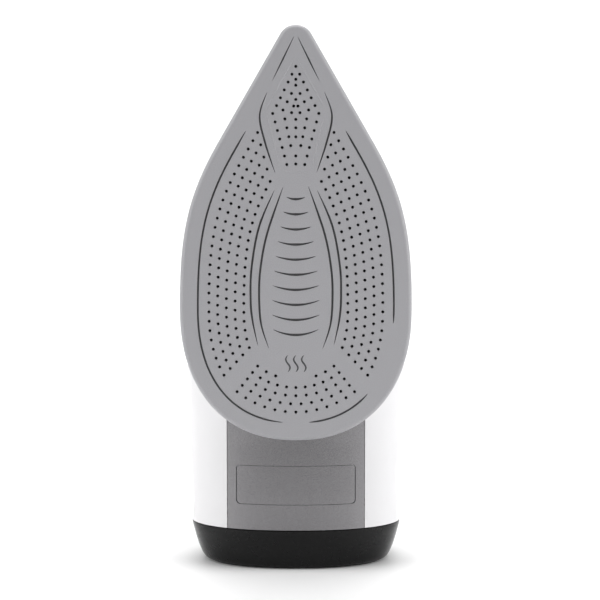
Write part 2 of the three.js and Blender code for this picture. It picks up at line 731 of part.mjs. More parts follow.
// ---------------------------------------------------------------- controls and internals

function temperatureDial() {
  const flutes = 16;
  const shape = new THREE.Shape();
  for (let i = 0; i < flutes * 2; i++) {
    const angle = (i / (flutes * 2)) * 2 * Math.PI;
    const radius = dial.radius - (i % 2) * 0.8;
    shape[i ? "lineTo" : "moveTo"](radius * Math.cos(angle), dial.z + radius * Math.sin(angle));
  }
  const crown = post(0, dial.z, dial.radius - 2.6, dial.low, dial.high, 18);
  const pointer = block(-1.2, 1.2, dial.high - 1, dial.high + 0.8, dial.z + 4, dial.z + 13);
  const knob = joined(plate(shape, dial.low, dial.high - 1.6), crown, pointer);
  return cutAway(knob, post(0, dial.z, 2.8, 60, dial.high - 2, 12));
}

function thermostatShaft() {
  return post(0, dial.z, 2.5, 31.3, dial.high - 2.3, 12);
}

function thermostat() {
  return joined(
    block(-11, 11, 16.3, 18, dial.z - 8, dial.z + 8),
    post(0, dial.z, 7.5, 17, 28, 16),
    block(-9, 9, 21, 23, dial.z - 3, dial.z + 3),
    post(0, dial.z, 3.6, 27, 31, 12),
  );
}

function thermalFuse() {
  const cup = new THREE.CylinderGeometry(2.1, 2.1, 12, 10).rotateX(Math.PI / 2).translate(-19, 18.9, 101);
  return joined(toSolid(cup), block(-22.5, -15.5, 16.3, 17.8, 99, 103));
}

// A coil spring along y, between y0 and y1.
function spring(radius, wireRadius, turns, y0, y1) {
  const points = [];
  const perTurn = 6;
  for (let i = 0; i <= turns * perTurn; i++) {
    const angle = (i / perTurn) * 2 * Math.PI;
    const rise = y0 + wireRadius + ((y1 - y0 - 2 * wireRadius) * i) / (turns * perTurn);
    points.push([radius * Math.cos(angle), rise, radius * Math.sin(angle)]);
  }
  return tube(points, wireRadius, turns * perTurn, 3);
}

// A turned form from its half profile of [radius, height] pairs.
const lathe = (profile, sides) =>
  new THREE.LatheGeometry(profile.map(([r, y]) => new THREE.Vector2(r, y)), sides);

// A pan-head screw with its head's underside at y = 0 and its shank towards -y.
function screw(headRadius, headHeight, shankRadius, shankLength) {
  const profile = [
    [0, -shankLength],
    [shankRadius, -shankLength + 1],
    [shankRadius, 0],
    [headRadius, 0],
    [headRadius * 0.7, headHeight],
    [0, headHeight],
  ];
  return toSolid(lathe(profile, 8));
}

// A press button's cap, its piston rod and the return spring round the rod.
function buttonCap(side, height) {
  const profile = [
    [0, -4.6],
    [buttons.radius, -4.6],
    [buttons.radius, height - 1.2],
    [buttons.radius - 1.2, height],
    [0, height - 0.4],
  ];
  return seated(lathe(profile, 18), seats.buttons, side * buttons.x);
}

const buttonPiston = (side) => seatedBar(seats.buttons, side * buttons.x, 1.9, -17.6, -4.9, 10);

function buttonSpring(side) {
  const coil = spring(3.1, 0.45, 4, -15.4, -4.9);
  return coil.rotateX(seats.buttons.angle).translate(side * buttons.x, seats.buttons.y, seats.buttons.z);
}

function pumpBlock() {
  const seat = seats.buttons;
  const bridge = seated(new THREE.BoxGeometry(31, 3, 13).translate(0, -17.5, 0), seat);
  const barrels = [-1, 1].map((side) => seatedBar(seat, side * buttons.x, 5.4, -23.3, -9.6, 10));
  const bores = [-1, 1].flatMap((side) => [
    seatedBar(seat, side * buttons.x, 4.1, -15.7, 0, 10),
    seatedBar(seat, side * buttons.x, 2.4, -21.9, 0, 8),
    seatedBar(seat, side * buttons.x, 1, -40, 0, 5),
  ]);
  return cutAway(joined(bridge, ...barrels), ...bores);
}

function steamSlider() {
  const x = -slider.travel / 2;
  const knob = new THREE.BoxGeometry(2 * slider.halfKnob, 12.4, 4.3).translate(0, -2.8, 0);
  const foot = new THREE.BoxGeometry(15, 1.6, 8).translate(0, -9.6, 0);
  return joined(seated(knob, seats.slider, x), seated(foot, seats.slider, x));
}

function steamValveRod() {
  const tip = post(rod.x, rod.z, 0.9, rod.low - 4, rod.low, 10);
  return joined(tip, post(rod.x, rod.z, rod.radius, rod.low - 0.5, rod.high, 10),
    post(rod.x, rod.z, 3, rod.high - 2, rod.high, 12));
}

function sprayNozzle() {
  const profile = [
    [0.5, -11],
    [3.2, -11],
    [3.2, -4],
    [4.3, -4],
    [4.3, 1.2],
    [6.4, 1.6],
    [5.6, 3.2],
    [2.6, 4.4],
    [0.5, 4],
    [0.5, -11],
  ];
  return seated(lathe(profile, 12), seats.nozzle);
}

function steamInletSeal() {
  const sleeve = post(rod.x, rod.z, 5.8, level.lidHigh + seam, 28.6, 14);
  return cutAway(sleeve, post(rod.x, rod.z, 2.4, 0, 40, 12));
}

function indicatorLamp() {
  const lens = post(0, lamp.z, lamp.radius, 68, 74.8, 12);
  return joined(lens, post(0, lamp.z, lamp.radius + 1, 68, 69.2, 12));
}

function cordGland() {
  const ball = seated(new THREE.SphereGeometry(gland.radius, 12, 8), seats.gland);
  const collar = seatedBar(seats.gland, 0, 6, 4, gland.radius + 3, 12);
  return cutAway(joined(ball, collar), seatedBar(seats.gland, 0, gland.bore, -20, 20, 10));
}

function terminalBlock() {
  const [z, y] = [38, 90];
  const bores = [-9, 0, 9].map((x) => post(x, z, 2.2, y + 1, y + 20, 8));
  const ways = [-9, 0, 9].map((x) => barAlongZ(x, y - 1, 1.6, 0, 70, 8));
  return cutAway(block(-15, 15, y - 5, y + 5, z - 6, z + 6), ...bores, ...ways);
}

// ---------------------------------------------------------------- the assembly

const iron = new THREE.Group();
iron.position.set(0, -ironHeight / 2, 0);

function piece(name, solidOrGeometry, material, parent = iron) {
  const geometry = solidOrGeometry.isBufferGeometry ? solidOrGeometry : toGeometry(solidOrGeometry);
  const mesh = new THREE.Mesh(geometry, material);
  mesh.name = name;
  parent.add(mesh);
  return mesh;
}

// Sole assembly
piece("soleplate", soleplate(), look.ceramic);
piece("heater_casting", heaterCasting(), look.aluminium);
piece("heating_element", tube(elementPath, 3.25, elementSteps), look.steel);
piece("steam_chamber_lid", chamberLid(), look.aluminium);
piece("heat_shield", heatShield(), look.softBlack);
piece("thermostat", thermostat(), look.steel);
piece("thermal_fuse", thermalFuse(), look.steel);
piece("steam_inlet_seal", steamInletSeal(), look.silicone);
soleScrewPlaces.forEach(([x, z], i) => {
  const made = screw(3.4, 2, 1.7, 10);
  piece(`sole_screw_${i + 1}`, made.translate(x, level.floorHigh + 0.3, z), look.steel);
});

// Casings
piece("main_shell", mainShell(), look.white);
piece("rear_panel", rearPanel(), look.silver);
piece("heel_base", heelBase(), look.black);
piece("heel_pad", heelPad(), look.softBlack);
heelBosses.forEach(([x, y], i) => {
  const made = screw(3.6, 2.2, 1.9, 26).rotate([-90, 0, 0]);
  piece(`heel_screw_${i + 1}`, made.translate(x, y, 7.7), look.steel);
});
piece("water_tank", waterTank(), look.smoke);
piece("handle_housing", handleHousing(), look.white);
piece("grip_cover", gripCover(), look.softBlack);

// Filler
piece("filler_door", fillerDoor(), look.smoke);
piece("filler_hinge_pin", barAcross(seats.hinge, 0.8, door.halfWidth + 2.2, 10), look.steel);

// Steam and spray controls
const controls = new THREE.Group();
iron.add(controls);
piece("button_bezel", buttonBezel(), look.accent, controls);
piece("pump_block", pumpBlock(), look.silicone, controls);
[["spray", -1, 4.6], ["burst", 1, 5.8]].forEach(([name, side, height]) => {
  piece(`${name}_button`, buttonCap(side, height), look.white, controls);
  piece(`${name}_piston`, buttonPiston(side), look.silicone, controls);
  piece(`${name}_spring`, buttonSpring(side), look.steel, controls);
});
piece("steam_slider", steamSlider(), look.white, controls);
piece("steam_valve_rod", steamValveRod(), look.steel, controls);
piece("spray_nozzle", sprayNozzle(), look.white, controls);

// Temperature control
piece("temperature_dial", temperatureDial(), look.accent);
piece("thermostat_shaft", thermostatShaft(), look.silicone);
piece("indicator_lamp", indicatorLamp(), look.clear);

// Wiring
piece("cord_gland", cordGland(), look.softBlack);
piece("terminal_block", terminalBlock(), look.silicone);
[["live_lead", 1], ["neutral_lead", -1]].forEach(([name, side]) => {
  const route = [[9, 89, 44.4], [12, 84, 56], [23, 62, 72], [30.6, 40, 88], [31, 27.6, 93]];
  piece(name, tube(route.map(([x, y, z]) => [side * x, y, z]), 1.2, 12, 5), look.wire);
});
const hose = [
  fromSeat(seats.buttons, -buttons.x, -24.2, 0),
  fromSeat(seats.buttons, -buttons.x - 0.6, -26.4, 1.4),
  fromSeat(seats.slider, -14, -21, 2),
  fromSeat(seats.hinge, -14.5, -16, 8),
  fromSeat(seats.nozzle, -12, -12, -7),
  fromSeat(seats.nozzle, -5, -14, 1),
  fromSeat(seats.nozzle, 0, -12.3, 0),
];
piece("nozzle_hose", tube(hose, 1.2, 14, 6), look.silicone);

export default new THREE.Group().add(iron);
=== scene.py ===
"""Looks of a steam iron that stands on its heel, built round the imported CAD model.

Forms are worked out in millimetres in the iron's own frame, as in the CAD source: x across the iron, y the
height above the soleplate's working face and z the distance from the heel. Meshes are stored in metres in
the CAD frame, whose y is that height less half the iron's.
"""

import json
import math

import bmesh
import bpy
import numpy as np
from mathutils import Matrix, Vector, geometry


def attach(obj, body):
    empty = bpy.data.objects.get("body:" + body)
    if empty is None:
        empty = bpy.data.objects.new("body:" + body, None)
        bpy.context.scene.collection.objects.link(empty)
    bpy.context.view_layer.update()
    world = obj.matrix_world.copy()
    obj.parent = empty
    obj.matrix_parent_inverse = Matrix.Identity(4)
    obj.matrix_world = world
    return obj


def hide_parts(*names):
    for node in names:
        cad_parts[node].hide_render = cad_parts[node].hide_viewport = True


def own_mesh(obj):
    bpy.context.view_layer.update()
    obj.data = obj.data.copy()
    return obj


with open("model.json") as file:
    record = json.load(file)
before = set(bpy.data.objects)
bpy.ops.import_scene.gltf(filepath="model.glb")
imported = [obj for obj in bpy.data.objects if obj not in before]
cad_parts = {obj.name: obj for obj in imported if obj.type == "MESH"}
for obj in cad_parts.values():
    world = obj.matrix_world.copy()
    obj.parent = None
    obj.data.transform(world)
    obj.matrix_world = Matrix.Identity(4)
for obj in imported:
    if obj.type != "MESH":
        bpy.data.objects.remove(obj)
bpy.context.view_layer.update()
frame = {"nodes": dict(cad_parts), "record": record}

# ---------------------------------------------------------------- driving dimensions, in millimetres

HALF_HEIGHT = 75.0
GAP = 0.3
WALL = 2.2
HEEL_Z = 72.0
SOLE_LENGTH = 219.0
SOLE_HALF = 61.2
HEEL_LENGTH = 70.0
HEEL_POWER = 2.25
TIP_RADIUS = 9.4
FLANK_END = 157.7
FLANK_HALF = 40.7
FLANK_SLOPE = 0.575
SOLE_THICK = 4.6
SOLE_RIM = 2.3
SEAM_Z = 22.0
NOSE_Z = 286.0
NOSE_RADIUS = 7.0
SKIRT_INSET, SKIRT_LOW, SKIRT_HIGH = 2.0, 6.4, 22.0
PANEL_HALF = 36.7
LABEL_HALF, LABEL_LOW, LABEL_HIGH = 32.0, 36.0, 57.5
TANK_NOSE_Z = 262.0

# z, y of the face behind the sole, y of the widest level, y of the top, powers of the two half sections
BODY_STATIONS = np.array([
    (0, 8.8, 50, 112, 2.2, 2.3),
    (22, 8.4, 50, 113, 2.2, 2.3),
    (42, 8, 49, 112, 2.2, 2.3),
    (54, 8, 48, 103, 2.2, 2.3),
    (66, 8, 46, 87, 2.2, 2.3),
    (78, 8, 44, 77.4, 2.3, 2.4),
    (90, 8, 42, 75.4, 2.5, 2.4),
    (130, 6, 35, 73.5, 3.4, 2.5),
    (160, 3, 31, 72, 4, 2.5),
    (190, 2, 28, 69, 4, 2.4),
    (215, 2, 26, 62, 4, 2.2),
    (240, 2, 24, 50, 4, 2.1),
    (262, 2, 21, 36.5, 4, 2),
    (278, 2, 16, 25, 4, 2),
    (286, 2, 12, 17.5, 4, 2),
])

# z, y, half thickness and half width along the handle's centreline
HANDLE_STATIONS = np.array([
    (37, 92, 14, 26),
    (42, 112, 16, 24),
    (60, 129, 15, 20),
    (98, 137, 13, 17.5),
    (144, 135, 13, 17.5),
    (180, 121, 15.5, 20),
    (203, 99, 18.5, 22.5),
    (221, 73, 20, 23.5),
    (238, 48, 17.5, 21),
    (254, 25, 12, 14),
])
HANDLE_POWER = 2.5
COVER_START, COVER_END, BEZEL_END = 0.55, 4.75, 6.4
GLAND_AT, BUTTONS_AT, SLIDER_AT, HINGE_AT, DOOR_END, NOZZLE_AT = 1.45, 5.2, 5.95, 6.62, 7.42, 8.05

# Side views, as (z, y): where the handle housing meets the shell, and the lower edge of the tank's window
DECK_LINE = [
    (10, 86), (40, 82), (62, 74), (84, 67), (120, 65), (190, 62), (215, 55), (240, 43.5), (278, 20),
]
TANK_LINE = [(110, 80), (112, 58), (122, 42), (145, 33), (190, 30), (235, 28.5), (266, 28)]

HOLE_RADIUS, HOLE_CHAMFER, HOLE_DEPTH = 0.8, 0.16, 3.6
NECK_Z, NECK_OUTER, NECK_INNER = 229.0, 9.0, 7.0
ROD_X, ROD_Z = 12.5, 209.0
DIAL_Z, DIAL_RADIUS, DIAL_LOW, DIAL_HIGH, DIAL_FLUTES = 100.0, 16.5, 77.2, 83.2, 16
LAMP_Z, LAMP_LOW = 124.0, 68.0
BUTTON_X, BUTTON_RADIUS, BUTTON_FOOT = 8.4, 6.2, -4.6
SLIDER_X, SLIDER_SLOT_HALF, SLIDER_KNOB_HALF = -8.0, 12.5, 3.6
DOOR_HALF, BARREL_RADIUS, PIN_BORE = 9.0, 2.7, 1.1
GLAND_RADIUS, GLAND_BORE = 9.0, 4.6
SPRING_FOOT, SPRING_HEAD, SPRING_RADIUS, SPRING_WIRE = -15.4, -4.9, 3.1, 0.45

CAMERA_PLACE = (0.0022, -1.4, 0.2719)
CAMERA_PITCH = 0.0941
CAMERA_LENS = 151.7

FINE = 1.0
TO_FRAME = Matrix.Diagonal((0.001, 0.001, 0.001, 1)) @ Matrix.Translation((0, -HALF_HEIGHT, 0))
slot_of = {part["node"]: part["material_slot"] for part in frame["record"]["subparts"]}


def steps(count):
    return max(8, int(count * FINE) // 2 * 2)


# ---------------------------------------------------------------- camera


def make_camera():
    data = bpy.data.cameras.new("camera")
    data.sensor_width = 36
    data.lens = CAMERA_LENS
    camera = bpy.data.objects.new("camera", data)
    camera.location = CAMERA_PLACE
    camera.rotation_euler = (math.pi / 2 - CAMERA_PITCH, 0, 0)
    bpy.context.scene.collection.objects.link(camera)
    bpy.context.scene.camera = camera


make_camera()

# ---------------------------------------------------------------- curves


def between(z):
    """The body's station values at z, by monotone cubic interpolation, so that no section overshoots."""
    zs = BODY_STATIONS[:, 0]
    values = BODY_STATIONS[:, 1:]
    z = min(max(z, zs[0]), zs[-1])
    i = min(int(np.searchsorted(zs, z, side="right")) - 1, len(zs) - 2)
    slopes = np.diff(values, axis=0) / np.diff(zs)[:, None]

    def tangent(k):
        if k == 0:
            return slopes[0]
        if k == len(zs) - 1:
            return slopes[-1]
        a, b = slopes[k - 1], slopes[k]
        total = np.where(a + b == 0, 1, a + b)
        return np.where(a * b <= 0, 0, 2 * a * b / total)

    h = zs[i + 1] - zs[i]
    t = (z - zs[i]) / h
    return (
        values[i] * (2 * t**3 - 3 * t**2 + 1)
        + h * tangent(i) * (t**3 - 2 * t**2 + t)
        + values[i + 1] * (3 * t**2 - 2 * t**3)
        + h * tangent(i + 1) * (t**3 - t**2)
    )


def spline(points, share):
    """A point of the uniform Catmull-Rom curve through points, at a share of its length in points."""
    points = np.asarray(points, float)
    n = len(points)
    at = min(max(share, 0.0), 1.0) * (n - 1)
    i = min(int(at), n - 2)
    t = at - i
    p0, p1, p2 = points[max(i - 1, 0)], points[i], points[i + 1]
    p3 = points[min(i + 2, n - 1)]
    v0, v1 = (p2 - p0) / 2, (p3 - p1) / 2
    return (2 * p1 - 2 * p2 + v0 + v1) * t**3 + (-3 * p1 + 3 * p2 - 2 * v0 - v1) * t**2 + v0 * t + p1


def smooth_line(points, count):
    return np.array([spline(points, i / count) for i in range(count + 1)])


def signed_power(value, power):
    return math.copysign(abs(value) ** power, value)


def evenly(points, count, closed=False):
    """count points spread evenly along a polyline."""
    points = np.asarray(points, float)
    if closed:
        points = np.vstack([points, points[:1]])
    along = np.concatenate([[0], np.cumsum(np.linalg.norm(np.diff(points, axis=0), axis=1))])
    at = np.linspace(0, along[-1], count, endpoint=not closed)
    return np.column_stack([np.interp(at, along, points[:, k]) for k in range(points.shape[1])])


def sole_half_outline():
    """The right half of the sole's outline as (x, z) from the heel's middle to the tip."""
    turn = np.linspace(0, math.pi / 2, 160)
    x = SOLE_HALF * np.sin(turn) ** (2 / HEEL_POWER)
    z = HEEL_LENGTH * (1 - np.cos(turn) ** (2 / HEEL_POWER))
    t = np.linspace(0, 1, 120)[1:, None]
    a = np.array((SOLE_HALF, HEEL_LENGTH))
    b = np.array((SOLE_HALF, HEEL_LENGTH + 40))
    c = np.array((FLANK_HALF + 28 * FLANK_SLOPE, FLANK_END - 28))
    d = np.array((FLANK_HALF, FLANK_END))
    flank = a * (1 - t) ** 3 + 3 * b * t * (1 - t) ** 2 + 3 * c * t**2 * (1 - t) + d * t**3
    lean = math.atan(FLANK_SLOPE)
    turn = np.linspace(lean, math.pi / 2, 40)
    centre = SOLE_LENGTH - TIP_RADIUS
    tip = np.column_stack([TIP_RADIUS * np.cos(turn), centre + TIP_RADIUS * np.sin(turn)])
    return evenly(np.vstack([np.column_stack([x, z]), flank, tip]), 700)


SOLE_EDGE = sole_half_outline()


def inset_half_outline(inset, count):
    """The half outline moved inwards, cut off at the middle plane, with evenly spaced points."""
    along = np.gradient(SOLE_EDGE, axis=0)
    along /= np.linalg.norm(along, axis=1)[:, None]
    along[0], along[-1] = (1, 0), (-1, 0)
    moved = SOLE_EDGE + inset * np.column_stack([-along[:, 1], along[:, 0]])
    moved[0, 0] = 0
    crossing = next((i for i in range(1, len(moved)) if moved[i, 0] < 1e-3), None)
    kept = moved[:crossing]
    if crossing is not None:
        share = kept[-1, 0] / max(kept[-1, 0] - moved[crossing, 0], 1e-9)
        kept = np.vstack([kept, (0, kept[-1, 1] + (moved[crossing, 1] - kept[-1, 1]) * share)])
    kept[-1, 0] = 0
    return evenly(kept, count)


def sole_outline(inset, count=None):
    """The whole outline, moved inwards, as (x, z) measured from the floor."""
    half = inset_half_outline(inset, (count or steps(260)) // 2 + 1)
    left = half[1:-1][::-1] * (-1, 1)
    return np.vstack([half, left]) + (0, HEEL_Z)


def sole_half_width(z):
    return float(np.interp(z, SOLE_EDGE[:, 1], SOLE_EDGE[:, 0]))


# ---------------------------------------------------------------- meshes


def new_object(name, verts, faces):
    mesh = bpy.data.meshes.new(name)
    mesh.from_pydata([tuple(v) for v in verts], [], [tuple(f) for f in faces])
    mesh.validate()
    thing = bpy.data.objects.new(name, mesh)
    bpy.context.scene.collection.objects.link(thing)
    return thing


def face_outwards(mesh):
    """Turns a closed mesh whose faces all look inwards the right way out."""
    bm = bmesh.new()
    bm.from_mesh(mesh)
    if bm.calc_volume(signed=True) < 0:
        bmesh.ops.reverse_faces(bm, faces=bm.faces)
        bm.to_mesh(mesh)
    bm.free()


def loft(rings, name="form"):
    """A closed skin over rings of (x, y, z) points, capped at both ends."""
    n = len(rings[0])
    verts = np.vstack(rings)
    faces = []
    for k in range(len(rings) - 1):
        a, b = k * n, (k + 1) * n
        faces += [(a + i, a + (i + 1) % n, b + (i + 1) % n, b + i) for i in range(n)]
    faces.append(tuple(range(n))[::-1])
    faces.append(tuple(range((len(rings) - 1) * n, len(rings) * n)))
    thing = new_object(name, verts, faces)
    face_outwards(thing.data)
    return thing


def plate(inset, low, high, round_low=0.0, round_high=0.0):
    """A plate of the sole's outline, from y = low to y = high, with rounded edges."""
    levels = []
    for k in range(7 if round_low else 0):
        turn = math.pi / 2 * k / 6
        levels.append((inset + round_low * (1 - math.sin(turn)), low + round_low * (1 - math.cos(turn))))
    if not round_low:
        levels.append((inset, low))
    for k in range(7 if round_high else 0):
        turn = math.pi / 2 * k / 6
        levels.append((inset + round_high * (1 - math.cos(turn)), high - round_high * (1 - math.sin(turn))))
    if not round_high:
        levels.append((inset, high))
    rings = []
    for grown, y in levels:
        outline = sole_outline(grown)[::-1]
        rings.append(np.column_stack([outline[:, 0], np.full(len(outline), y), outline[:, 1]]))
    return loft(rings, "plate")


def prism(points, half=100.0):
    """A closed outline of (z, y) points, counter-clockwise or not, as a prism across the width."""
    points = np.asarray(points, float)
    area = np.sum(points[:, 0] * np.roll(points[:, 1], -1) - points[:, 1] * np.roll(points[:, 0], -1))
    if area < 0:
        points = points[::-1]
    ring = lambda x: np.column_stack([np.full(len(points), x), points[:, 1], points[:, 0]])
    return loft([ring(half), ring(-half)], "prism")


def block(x0, x1, y0, y1, z0, z1):
    return loft([np.array([(x0, y0, z), (x1, y0, z), (x1, y1, z), (x0, y1, z)]) for z in (z0, z1)], "block")


def bar(a, b, radius, sides=48):
    """A round bar from point a to point b."""
    a, b = np.asarray(a, float), np.asarray(b, float)
    return turned([(0, radius), (np.linalg.norm(b - a), radius)], a, b - a, sides)


def turned(profile, origin, direction, sides=64, squash=1.0):
    """A closed solid of revolution: (distance along, radius) pairs from its start to its end."""
    axis = Vector(direction).normalized()
    across = Vector((1, 0, 0)) if abs(axis.x) < 0.9 else Vector((0, 1, 0))
    up = axis.cross(across).normalized()
    across = up.cross(axis)
    rings = []
    for along, radius in profile:
        turn = np.linspace(0, 2 * math.pi, sides, endpoint=False)
        rings.append(
            np.asarray(origin, float)
            + np.asarray(axis) * along
            + radius * np.outer(np.cos(turn), across)
            + radius * squash * np.outer(np.sin(turn), up)
        )
    return loft(rings, "turned")


def boolean(thing, tool, operation):
    modifier = thing.modifiers.new("boolean", "BOOLEAN")
    modifier.operation = operation
    modifier.solver = "MANIFOLD"
    modifier.object = tool
    graph = bpy.context.evaluated_depsgraph_get()
    mesh = bpy.data.meshes.new_from_object(thing.evaluated_get(graph))
    thing.modifiers.clear()
    thing.data = mesh
    bpy.data.objects.remove(tool)
    return thing


def cut(thing, *tools):
    for tool in tools:
        boolean(thing, tool, "DIFFERENCE")
    return thing


def joined(thing, *others):
    for other in others:
        boolean(thing, other, "UNION")
    return thing


def common(thing, *others):
    for other in others:
        boolean(thing, other, "INTERSECT")
    return thing


def finished(thing, name, node, material, sharp=32):
    """Moves a form into the CAD frame and gives it the place of its node in the assembly."""
    mesh = thing.data
    mesh.transform(TO_FRAME)
    if material:
        mesh.materials.clear()
        mesh.materials.append(material)
    mesh.shade_smooth()
    mesh.set_sharp_from_angle(angle=math.radians(sharp))
    thing.name = mesh.name = name
    body = next(b for b, members in frame["record"]["behaviour"]["bodies"].items() if node in members)
    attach(thing, body)
    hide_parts(node)
    return thing



# ---------------------------------------------------------------- materials


class Shader:
    """A small helper for building a node material round one Principled BSDF."""

    def __init__(self, name, color, roughness, metallic=0.0, **sockets):
        self.material = bpy.data.materials.new(name)
        self.material.use_nodes = True
        self.nodes = self.material.node_tree.nodes
        self.links = self.material.node_tree.links
        self.bsdf = self.nodes["Principled BSDF"]
        self.set("Base Color", (*color, 1))
        self.set("Roughness", roughness)
        self.set("Metallic", metallic)
        for socket, value in sockets.items():
            self.set(socket.replace("_", " "), value)
        self.place = self.nodes.new("ShaderNodeTexCoord").outputs["Object"]

    def set(self, socket, value):
        self.bsdf.inputs[socket].default_value = value

    def noise(self, scale, detail=2.0, stretch=(1, 1, 1)):
        mapping = self.nodes.new("ShaderNodeMapping")
        mapping.inputs["Scale"].default_value = stretch
        self.links.new(self.place, mapping.inputs["Vector"])
        noise = self.nodes.new("ShaderNodeTexNoise")
        noise.inputs["Scale"].default_value = scale
        noise.inputs["Detail"].default_value = detail
        self.links.new(mapping.outputs["Vector"], noise.inputs["Vector"])
        return noise.outputs["Fac"]

    def speckle(self, scale):
        cells = self.nodes.new("ShaderNodeTexVoronoi")
        cells.inputs["Scale"].default_value = scale
        self.links.new(self.place, cells.inputs["Vector"])
        return cells.outputs["Color"]

    def spread(self, value, low, high):
        """Maps 0.3-0.7 of a texture value onto low-high."""
        remap = self.nodes.new("ShaderNodeMapRange")
        remap.inputs["From Min"].default_value = 0.3
        remap.inputs["From Max"].default_value = 0.7
        remap.inputs["To Min"].default_value = low
        remap.inputs["To Max"].default_value = high
        self.links.new(value, remap.inputs["Value"])
        return remap.outputs["Result"]

    def blend(self, value, a, b):
        mix = self.nodes.new("ShaderNodeMix")
        mix.data_type = "RGBA"
        mix.inputs["A"].default_value = (*a, 1)
        mix.inputs["B"].default_value = (*b, 1)
        self.links.new(value, mix.inputs["Factor"])
        return mix.outputs["Result"]

    def color(self, value, a, b):
        self.links.new(self.blend(self.spread(value, 0, 1), a, b), self.bsdf.inputs["Base Color"])
        return self

    def roughness(self, value, low, high):
        self.links.new(self.spread(value, low, high), self.bsdf.inputs["Roughness"])
        return self

    def bump(self, value, height, strength=1.0):
        bump = self.nodes.new("ShaderNodeBump")
        bump.inputs["Distance"].default_value = height
        bump.inputs["Strength"].default_value = strength
        self.links.new(value, bump.inputs["Height"])
        self.links.new(bump.outputs["Normal"], self.bsdf.inputs["Normal"])
        return self


def shades(color, spread):
    return [tuple(c * (1 + s) for c in color) for s in (-spread, spread)]


def ceramic(name="ceramic", color=(0.36, 0.357, 0.374)):
    made = Shader(name, color, 0.42, 0.0)
    made.color(made.noise(2600, 3), *shades(color, 0.1))
    made.roughness(made.noise(900, 4), 0.36, 0.47)
    return made.bump(made.noise(1800, 4), 0.00004, 0.6).material


# A dark ceramic for painted shade: the shade in the sole's grooves and inside its steam holes.
def painted_shade_ceramic(name, color):
    made = Shader(name, color, 0.5, 0.1)
    made.color(made.noise(2000), *shades(color, 0.15))
    return made.material


def white_gloss():
    color = (0.74, 0.735, 0.745)
    made = Shader("white_gloss", color, 0.16, IOR=1.48)
    made.color(made.noise(30, 3), *shades(color, 0.012))
    made.roughness(made.noise(700, 3), 0.13, 0.2)
    return made.bump(made.noise(260, 2), 0.00002, 0.35).material


def silver_texture():
    color = (0.2, 0.196, 0.202)
    made = Shader("silver_texture", color, 0.22, 1.0)
    made.color(made.noise(2300, 4), *shades(color, 0.18))
    made.roughness(made.noise(1500, 3), 0.16, 0.26)
    return made.bump(made.noise(2100, 4), 0.00008, 0.7).material


def black_gloss():
    made = Shader("black_gloss", (0.003, 0.003, 0.0032), 0.24, Specular_IOR_Level=0.2)
    made.color(made.noise(400, 3), (0.002, 0.002, 0.0022), (0.004, 0.004, 0.0042))
    made.roughness(made.noise(500, 4), 0.2, 0.29)
    return made.bump(made.noise(180, 2), 0.00002, 0.3).material


def soft_black(name="soft_black", roughness=0.62):
    made = Shader(name, (0.018, 0.018, 0.019), roughness, Sheen_Weight=0.12)
    made.color(made.noise(1200, 3), (0.014, 0.014, 0.015), (0.024, 0.024, 0.025))
    made.roughness(made.noise(1700, 3), roughness - 0.06, roughness + 0.08)
    return made.bump(made.noise(2600, 3), 0.00006, 0.7).material


def smoke():
    made = Shader("smoke", (0.32, 0.36, 0.42), 0.06, Transmission_Weight=0.75, IOR=1.49)
    made.color(made.noise(60, 2), (0.29, 0.33, 0.39), (0.35, 0.39, 0.45))
    return made.roughness(made.noise(900, 3), 0.04, 0.09).material


def grey_satin():
    made = Shader("grey_satin", (0.2, 0.205, 0.215), 0.3, 0.35)
    made.color(made.noise(1900, 4), (0.17, 0.175, 0.185), (0.23, 0.235, 0.245))
    made.roughness(made.noise(1400, 3), 0.26, 0.36)
    return made.bump(made.noise(1900, 3), 0.00003, 0.5).material


def cast_aluminium():
    made = Shader("cast_aluminium", (0.6, 0.61, 0.62), 0.5, 0.9)
    made.color(made.noise(320, 5), (0.48, 0.49, 0.5), (0.66, 0.67, 0.68))
    made.roughness(made.noise(500, 4), 0.4, 0.62)
    return made.bump(made.noise(700, 5), 0.00015, 0.7).material


def steel():
    made = Shader("steel", (0.56, 0.565, 0.57), 0.28, 1.0)
    made.color(made.noise(900, 3, (1, 8, 1)), (0.5, 0.505, 0.51), (0.62, 0.625, 0.63))
    return made.roughness(made.noise(700, 3, (1, 6, 1)), 0.2, 0.38).material


def silicone():
    made = Shader("silicone", (0.58, 0.6, 0.61), 0.55, Subsurface_Weight=0.05)
    made.color(made.noise(300, 2), (0.54, 0.56, 0.57), (0.62, 0.64, 0.65))
    return made.bump(made.noise(1500, 2), 0.00003, 0.5).material


def lens():
    made = Shader("lens", (0.85, 0.42, 0.08), 0.1, Transmission_Weight=0.4, Emission_Strength=0.0)
    return made.color(made.noise(500, 2), (0.8, 0.38, 0.06), (0.9, 0.46, 0.1)).material


def sleeve():
    made = Shader("sleeve", (0.25, 0.08, 0.03), 0.7)
    made.color(made.speckle(1500), (0.2, 0.06, 0.02), (0.32, 0.11, 0.05))
    return made.bump(made.noise(2500, 2), 0.0001, 0.8).material


look = {
    "sole_coating": ceramic(),
    "cast_aluminium": cast_aluminium(),
    "steel": steel(),
    "heat_resistant_black": soft_black("heat_black", 0.5),
    "silicone": silicone(),
    "white_plastic": white_gloss(),
    "silver_plastic": silver_texture(),
    "black_plastic": black_gloss(),
    "soft_grip": soft_black(),
    "smoky_plastic": smoke(),
    "grey_plastic": grey_satin(),
    "lamp_lens": lens(),
    "lead_sleeve": sleeve(),
}
# Painted shade: the grooves are coloured dark grey to stand for the shade inside them, which their shallow
# depth does not cast.
groove_painted_shade = painted_shade_ceramic("groove_painted_shade", (0.075, 0.075, 0.078))
